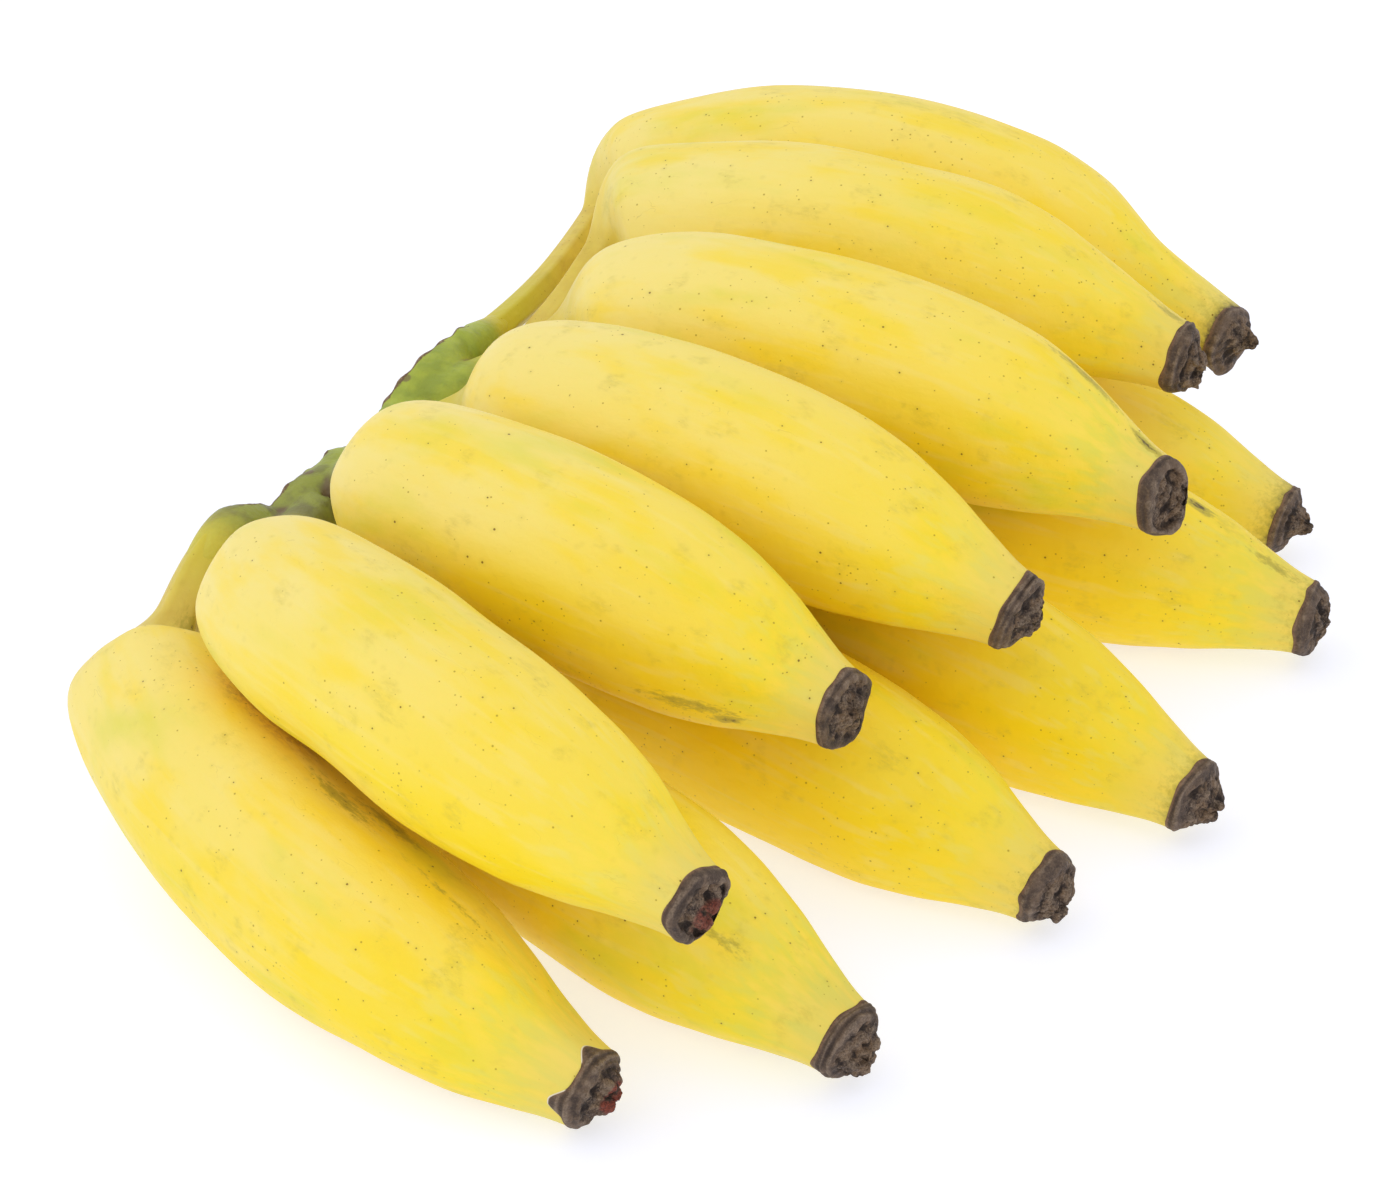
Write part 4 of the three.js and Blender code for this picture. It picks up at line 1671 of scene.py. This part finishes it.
        end, tangent, side, down, _ = finger.line.frames(np.array([finger.line.length]))
        points = end + across[..., None] * side + below[..., None] * down
        points += (out - plan.hole * hole)[..., None] * tangent + finger.tilted(places, radius, angle)
        return points, angle, share, out, rim

    def build(self, finish: bpy.types.Material) -> None:
        """Make the blossom end.

        Args:
            finish: the dry blossom's material.
        """
        finger, plan = self.finger, self.finger.plan
        draw = np.random.default_rng(self.seed + finger.seed)
        points, angle, share, out, rim = self.surface(draw)
        middle, skin = fall(share, *self.middle), rise(out - rim, 0, self.over_rim)
        swells, grooves, wrinkles = (
            waves.over(angle, out, draw) for waves in (self.swells, self.grooves, self.wrinkles)
        )
        folds, creases = self.folds.over(points, draw), self.creases.over(points, draw)
        where, spread, depth = self.moat
        shallow = self.moat_shallows * (np.cos(2 * angle + finger.seed) - 1)
        moat = skin * bell(share, where, spread) * (1 + shallow)
        grooved = (self.outer_grooves + (1 - self.outer_grooves) * middle) * grooves
        raised = skin * (swells + grooved + (1 - middle) * wrinkles + self.outer_creases * creases)
        raised += plan.rough * middle * (folds + creases - self.sunk) - depth * moat
        raised = np.maximum(raised, -self.deepest * np.maximum(out, 0))
        points = points + raised[..., None] * grid_normals(points)
        if plan.rests:
            height = points[..., 2] - self.floor_gap
            points[..., 2] = above(height, self.floor_ease) + self.floor_gap
        mesh = new_mesh("dry_end_" + plan.name, with_middles(points), tube_faces(self.rings, self.sides))
        beside = bell(turned_from(angle, self.lean_to), 0, self.red_turn)
        red_side = fall(share, *self.red_side) * beside
        red = np.maximum(fall(share, *self.red_core), red_side) * rise(folds, *self.red_folds)
        of_wrinkles, of_grooves, of_moat = self.relief
        outer = of_wrinkles * wrinkles + of_grooves * grooves
        relief = middle * (folds + creases) + (1 - middle) * outer - of_moat * moat
        attributes = {
            "straight": points - finger.line.points[-1] + self.pattern_step * finger.seed,
            "middle": middle,
            # high: the relief, for the painted highlight on raised parts and painted shade in low ones
            "high": np.clip(self.mean_relief + relief, 0, 1),
            "rim": bell(out - rim, *self.rim_band),
            "torn": min(plan.torn, 1.0) * bell(out - rim, *self.torn_band) * fall(rim, *self.torn_back),
            "red": plan.red * red,
        }
        for name, values in attributes.items():
            set_attribute(mesh, name, with_middles(values))
        place(mesh, finish, "blossom_end_" + plan.name, Slot.DRY_BLOSSOM)


# ---- The crown ----


@dataclass
class Crown:
    """The cut pad that all pedicels grow from, flowing out along each of them."""

    fingers: list[Finger]
    depth: float = 18.0
    height: float = 27.0
    end_roundness: int = 5
    cut_back: float = 6.0  # from the middle line back to the cut face
    cut_tilt: float = math.radians(12)
    cut_ease: float = 0.7
    cut_band: tuple[float, float] = (1.3, -0.2)  # distances in front of it at which its colour sets in
    torn_height: float = 0.45  # how uneven the cut face is
    torn_until: float = 0.5  # distance in front of the cut up to which it is uneven
    bar_reach: tuple[float, float] = (4, 9)  # how far out along the pedicels the bar ends
    green_from: float = 6.0  # how far out along the pedicels their own colour begins
    reach_step: float = 0.7  # distance between the places where the pedicels are measured
    reach_past: float = 3.0  # how far past the sleeves that goes on
    reach_off: tuple[float, float] = (3, 1)  # distances off a pedicel's skin over which its colour ends
    shaded_end: tuple[float, float] = (-12, -34)  # range of y over which painted shade deepens, where the upper fingers lie over the crown
    sleeve_length: float = 20.0
    sleeve: tuple[float, float] = (2.3, -0.35)  # thickness over the pedicel, at its root and its end
    voxel: float = 0.75  # side of the cubes that fuse the bar and the sleeves
    rounding: int = 9  # how many times the fused skin is smoothed
    crease_depth: float = 0.05  # depth at which a crease counts as one of the deepest

    line: tuple[Point, ...] = (
        (-77.5, -45.2, 33), (-75.5, -28.2, 31), (-74.5, -12.2, 28),
        (-75.5, 1.8, 31), (-76.5, 13.8, 38), (-78.5, 27.8, 36),
    )
    line_rows: int = 80
    line_spread: float = 6.0  # rows over which the line is rounded
    rings: int = 60
    sides: int = 40
    ends: float = 0.002  # share of the length that is left open at each end
    sleeve_rings: int = 24
    sleeve_sides: int = 28
    sleeve_from: float = 0.5
    lumps: Waves = Waves(12, (1, 5), (9, 30), 0.35)
    seed: int = 77

    def bar(self) -> tuple[np.ndarray, list[list[int]]]:
        """The bent bar before it is cut.

        Its half depth and half height are those of an ellipse times sqrt(1 - |2 s - 1|^5), where s is
        the share of its length.

        Returns:
            Its points and faces.
        """
        even = np.linspace(0, 1, self.line_rows)
        known = np.array(self.line, float)
        line = Line(soften(columns_at(even, np.linspace(0, 1, len(known)), known), self.line_spread))
        share = np.linspace(self.ends, 1 - self.ends, self.rings)[:, None]
        size = np.sqrt(1 - np.abs(2 * share - 1) ** self.end_roundness)
        places = share[:, 0] * line.length
        along, angle = ring_grid(places, self.sides)
        lumps = self.lumps.over(angle, along, np.random.default_rng(self.seed))
        across = (self.depth / 2 + lumps) * size * np.cos(angle)
        below = (self.height / 2 + lumps) * size * np.sin(angle)
        return with_middles(line.tube(places, across, below)), tube_faces(self.rings, self.sides)

    def sleeve_round(self, finger: Finger) -> tuple[np.ndarray, list[list[int]]]:
        """The crown's tissue round a pedicel: a cone that ends just under the pedicel's skin.

        Args:
            finger: the pedicel's finger.

        Returns:
            Its points and faces.
        """
        places = np.linspace(self.sleeve_from, self.sleeve_length, self.sleeve_rings)
        thickness = np.interp(places, [0, self.sleeve_length], self.sleeve)[:, None]
        radius = (finger.plan.pedicel / 2 + thickness) * np.ones(self.sleeve_sides)
        angle = ring_angles(self.sleeve_sides)
        points = finger.line.tube(places, radius * np.cos(angle), radius * np.sin(angle))
        return with_middles(points), tube_faces(self.sleeve_rings, self.sleeve_sides)

    def fused(self) -> bpy.types.Mesh:
        """The bar and the sleeves as one skin, remeshed in small cubes and smoothed.

        Returns:
            The skin's mesh, in metres.
        """
        points, faces = self.bar()
        for finger in self.fingers:
            more, more_faces = self.sleeve_round(finger)
            faces += [[index + len(points) for index in face] for face in more_faces]
            points = np.concatenate([points, more])
        rough = new_object("rough_crown", new_mesh("rough_crown", points, faces))
        remesh = rough.modifiers.new("remesh", "REMESH")
        remesh.mode = "VOXEL"
        remesh.voxel_size = self.voxel * MM
        smooth = rough.modifiers.new("smooth", "SMOOTH")
        smooth.factor = 0.5
        smooth.iterations = self.rounding
        ready = rough.evaluated_get(bpy.context.evaluated_depsgraph_get())
        mesh = bpy.data.meshes.new_from_object(ready)
        bpy.data.objects.remove(rough)
        mesh.name = "crown_pad"
        return mesh

    @property
    def cut_normal(self) -> np.ndarray:
        """The direction into the crown, square to its cut face."""
        return np.array([math.cos(self.cut_tilt), 0, -math.sin(self.cut_tilt)])

    def from_cut(self, points: np.ndarray) -> np.ndarray:
        """Distances in front of the cut face, which leans forward by cut_tilt at its upper rim."""
        x, _, z = self.line[len(self.line) // 2]
        return (points - np.array([x - self.cut_back, 0, z])) @ self.cut_normal

    def build(self, finish: bpy.types.Material) -> None:
        """Make the crown: the fused skin, with all that lies behind the cut pressed flat on it.

        The cut face is uneven by torn_height * sin(0.9 y + 2 sin(0.31 z)) * cos(0.8 z).

        Args:
            finish: the crown's material.
        """
        mesh = self.fused()
        points = np.empty(len(mesh.vertices) * 3)
        mesh.vertices.foreach_get("co", points)
        points = points.reshape(-1, 3) / MM
        _, y, z = points.T
        front = self.from_cut(points)
        torn = self.torn_height * np.sin(0.9 * y + 2 * np.sin(0.31 * z)) * np.cos(0.8 * z)
        kept = above(front, self.cut_ease) + np.where(front < self.torn_until, torn, 0)
        bar = 1 - self.reach(points, *self.bar_reach)
        # painted shade towards -y, under the upper fingers
        attributes = {"cut": bar * fall(front, *self.cut_band), "shaded_end": fall(y, *self.shaded_end)}
        points = points + (bar * (kept - front))[:, None] * self.cut_normal
        mesh.vertices.foreach_set("co", (points * MM).ravel())
        mesh.update()
        mesh.shade_smooth()
        attributes["reach"] = self.reach(points, self.green_from, self.sleeve_length)
        attributes["hollow"] = self.hollow(mesh, points)
        for name, values in attributes.items():
            set_attribute(mesh, name, values)
        place(mesh, finish, "crown", Slot.CROWN_SKIN)

    def reach(self, points: np.ndarray, start: float, end: float) -> np.ndarray:
        """How far out along a pedicel points are.

        Args:
            points: the crown's points.
            start: the distance from the pedicel's root up to which the answer is 0.
            end: the distance from which it is 1.

        Returns:
            A value from 0 to 1 for each point, 0 for points that lie off every pedicel.
        """
        found = np.zeros(len(points))
        for finger in self.fingers:
            places = np.arange(0, self.sleeve_length + self.reach_past, self.reach_step)
            middle = finger.line.frames(places)[0]
            square = ((points[:, None] - middle) ** 2).sum(-1)
            off, on = self.reach_off
            skin = finger.plan.pedicel / 2
            close = fall(np.sqrt(square.min(1)), skin + off, skin + on)
            found = np.maximum(found, close * rise(places[square.argmin(1)], start, end))
        return found

    def hollow(self, mesh: bpy.types.Mesh, points: np.ndarray) -> np.ndarray:
        """How deep points lie in a crease, 0 on flat or bulging skin and 1 in the deepest creases.

        It is the distance, along the outward normal, from a point to the mean of its neighbours, three
        times averaged over the neighbours.

        Args:
            mesh: the crown's mesh.
            points: its points in millimetres.

        Returns:
            The depths.
        """
        edges = np.empty(len(mesh.edges) * 2, np.int32)
        mesh.edges.foreach_get("vertices", edges)
        a, b = edges.reshape(-1, 2).T
        number = len(points)
        neighbours = np.bincount(edges, minlength=number)[:, None]

        def mean_of_neighbours(rows: np.ndarray) -> np.ndarray:
            """The mean of each point's neighbours' rows.

            Args:
                rows: a row for each point.

            Returns:
                The means, a row for each point.
            """
            both_ways = [
                np.bincount(a, column[b], number) + np.bincount(b, column[a], number)
                for column in rows.T
            ]
            return np.stack(both_ways, -1) / neighbours

        normals = np.empty(number * 3)
        mesh.vertex_normals.foreach_get("vector", normals)
        depth = ((mean_of_neighbours(points) - points) * normals.reshape(-1, 3)).sum(-1, keepdims=True)
        for _ in range(3):
            depth = mean_of_neighbours(depth)
        return np.clip(depth[:, 0] / self.crease_depth, 0, 1)


# ---- The studio ----


@dataclass
class Studio:
    """The floor, the soft light and the camera."""

    floor_side: float = 7000.0
    floor_drop: float = 0.05  # keeps the floor clear of the flat places that rest on it
    aim: Point = (1.5, -20.2, 35)
    azimuth: float = math.radians(30)
    elevation: float = math.radians(32)
    distance: float = 999.7
    view_width: float = math.radians(14.5)
    sensor: float = 36.0
    farthest: float = 100.0  # metres up to which the camera sees
    sky: float = 0.90
    # Each soft box: where it stands, its side and its power in watts.
    boxes: tuple[tuple[Point, float, float], ...] = (
        ((-560, -420, 900), 900.0, 1.45),
        ((760, -560, 420), 800.0, 0.55),
    )

    def build_floor(self, finish: bpy.types.Material) -> None:
        """Lay a square floor just below the fruit.

        Args:
            finish: the floor's material.
        """
        half = self.floor_side / 2
        corners = np.array([[-half, -half, 0], [half, -half, 0], [half, half, 0], [-half, half, 0]])
        corners[:, 2] = -self.floor_drop
        mesh = new_mesh("floor", corners, [[0, 1, 2, 3]])
        mesh.materials.append(finish)
        new_object("floor", mesh)

    def build_lights(self) -> None:
        """Light the hand evenly from all round, more from the upper left and a little from the right."""
        world = bpy.data.worlds.new("studio")
        world.use_nodes = True
        background = world.node_tree.nodes["Background"]
        background.inputs["Color"].default_value = (1, 1, 1, 1)
        background.inputs["Strength"].default_value = self.sky
        bpy.context.scene.world = world
        aim = Vector(self.aim) * MM
        for stand, side, power in self.boxes:
            box = bpy.data.lights.new("soft_box", "AREA")
            box.shape = "SQUARE"
            box.size = side * MM
            box.energy = power
            lamp = new_object("soft_box", box)
            lamp.location = Vector(stand) * MM
            lamp.rotation_euler = (aim - lamp.location).to_track_quat("-Z", "Y").to_euler()

    def build_camera(self) -> None:
        """Set up the camera: distance back from the aim along its azimuth and elevation."""
        level, height = math.cos(self.elevation), math.sin(self.elevation)
        back = Vector((math.sin(self.azimuth) * level, -math.cos(self.azimuth) * level, height))
        data = bpy.data.cameras.new("camera")
        data.sensor_fit = "HORIZONTAL"
        data.sensor_width = self.sensor
        data.lens = self.sensor / 2 / math.tan(self.view_width / 2)
        data.clip_end = self.farthest
        camera = new_object("camera", data)
        camera.location = (Vector(self.aim) + back * self.distance) * MM
        camera.rotation_euler = back.to_track_quat("Z", "Y").to_euler()
        bpy.context.scene.camera = camera

    def build(self) -> None:
        """Make the whole studio, with colours shown as they are."""
        self.build_camera()
        self.build_lights()
        self.build_floor(FloorFinish().material())
        bpy.context.scene.view_settings.view_transform = "Standard"
        log.info("studio: floor, soft boxes and camera")


def main() -> None:
    """Build the studio, the crown and the twelve fingers."""
    logging.basicConfig(level=logging.INFO, format="%(name)s: %(message)s")
    Studio().build()
    peel, dry_blossom = PeelFinish().material(), DryBlossomFinish().material()
    fingers = [Finger(plan, seed) for seed, plan in enumerate(FINGERS, start=1)]
    crown = Crown(fingers)
    crown.build(CrownFinish().material())
    for finger in fingers:
        others = [other for other in fingers if other is not finger]
        finger.build_peel(others, crown, peel)
        BlossomEnd(finger).build(dry_blossom)


if __name__ == "__main__":
    main()
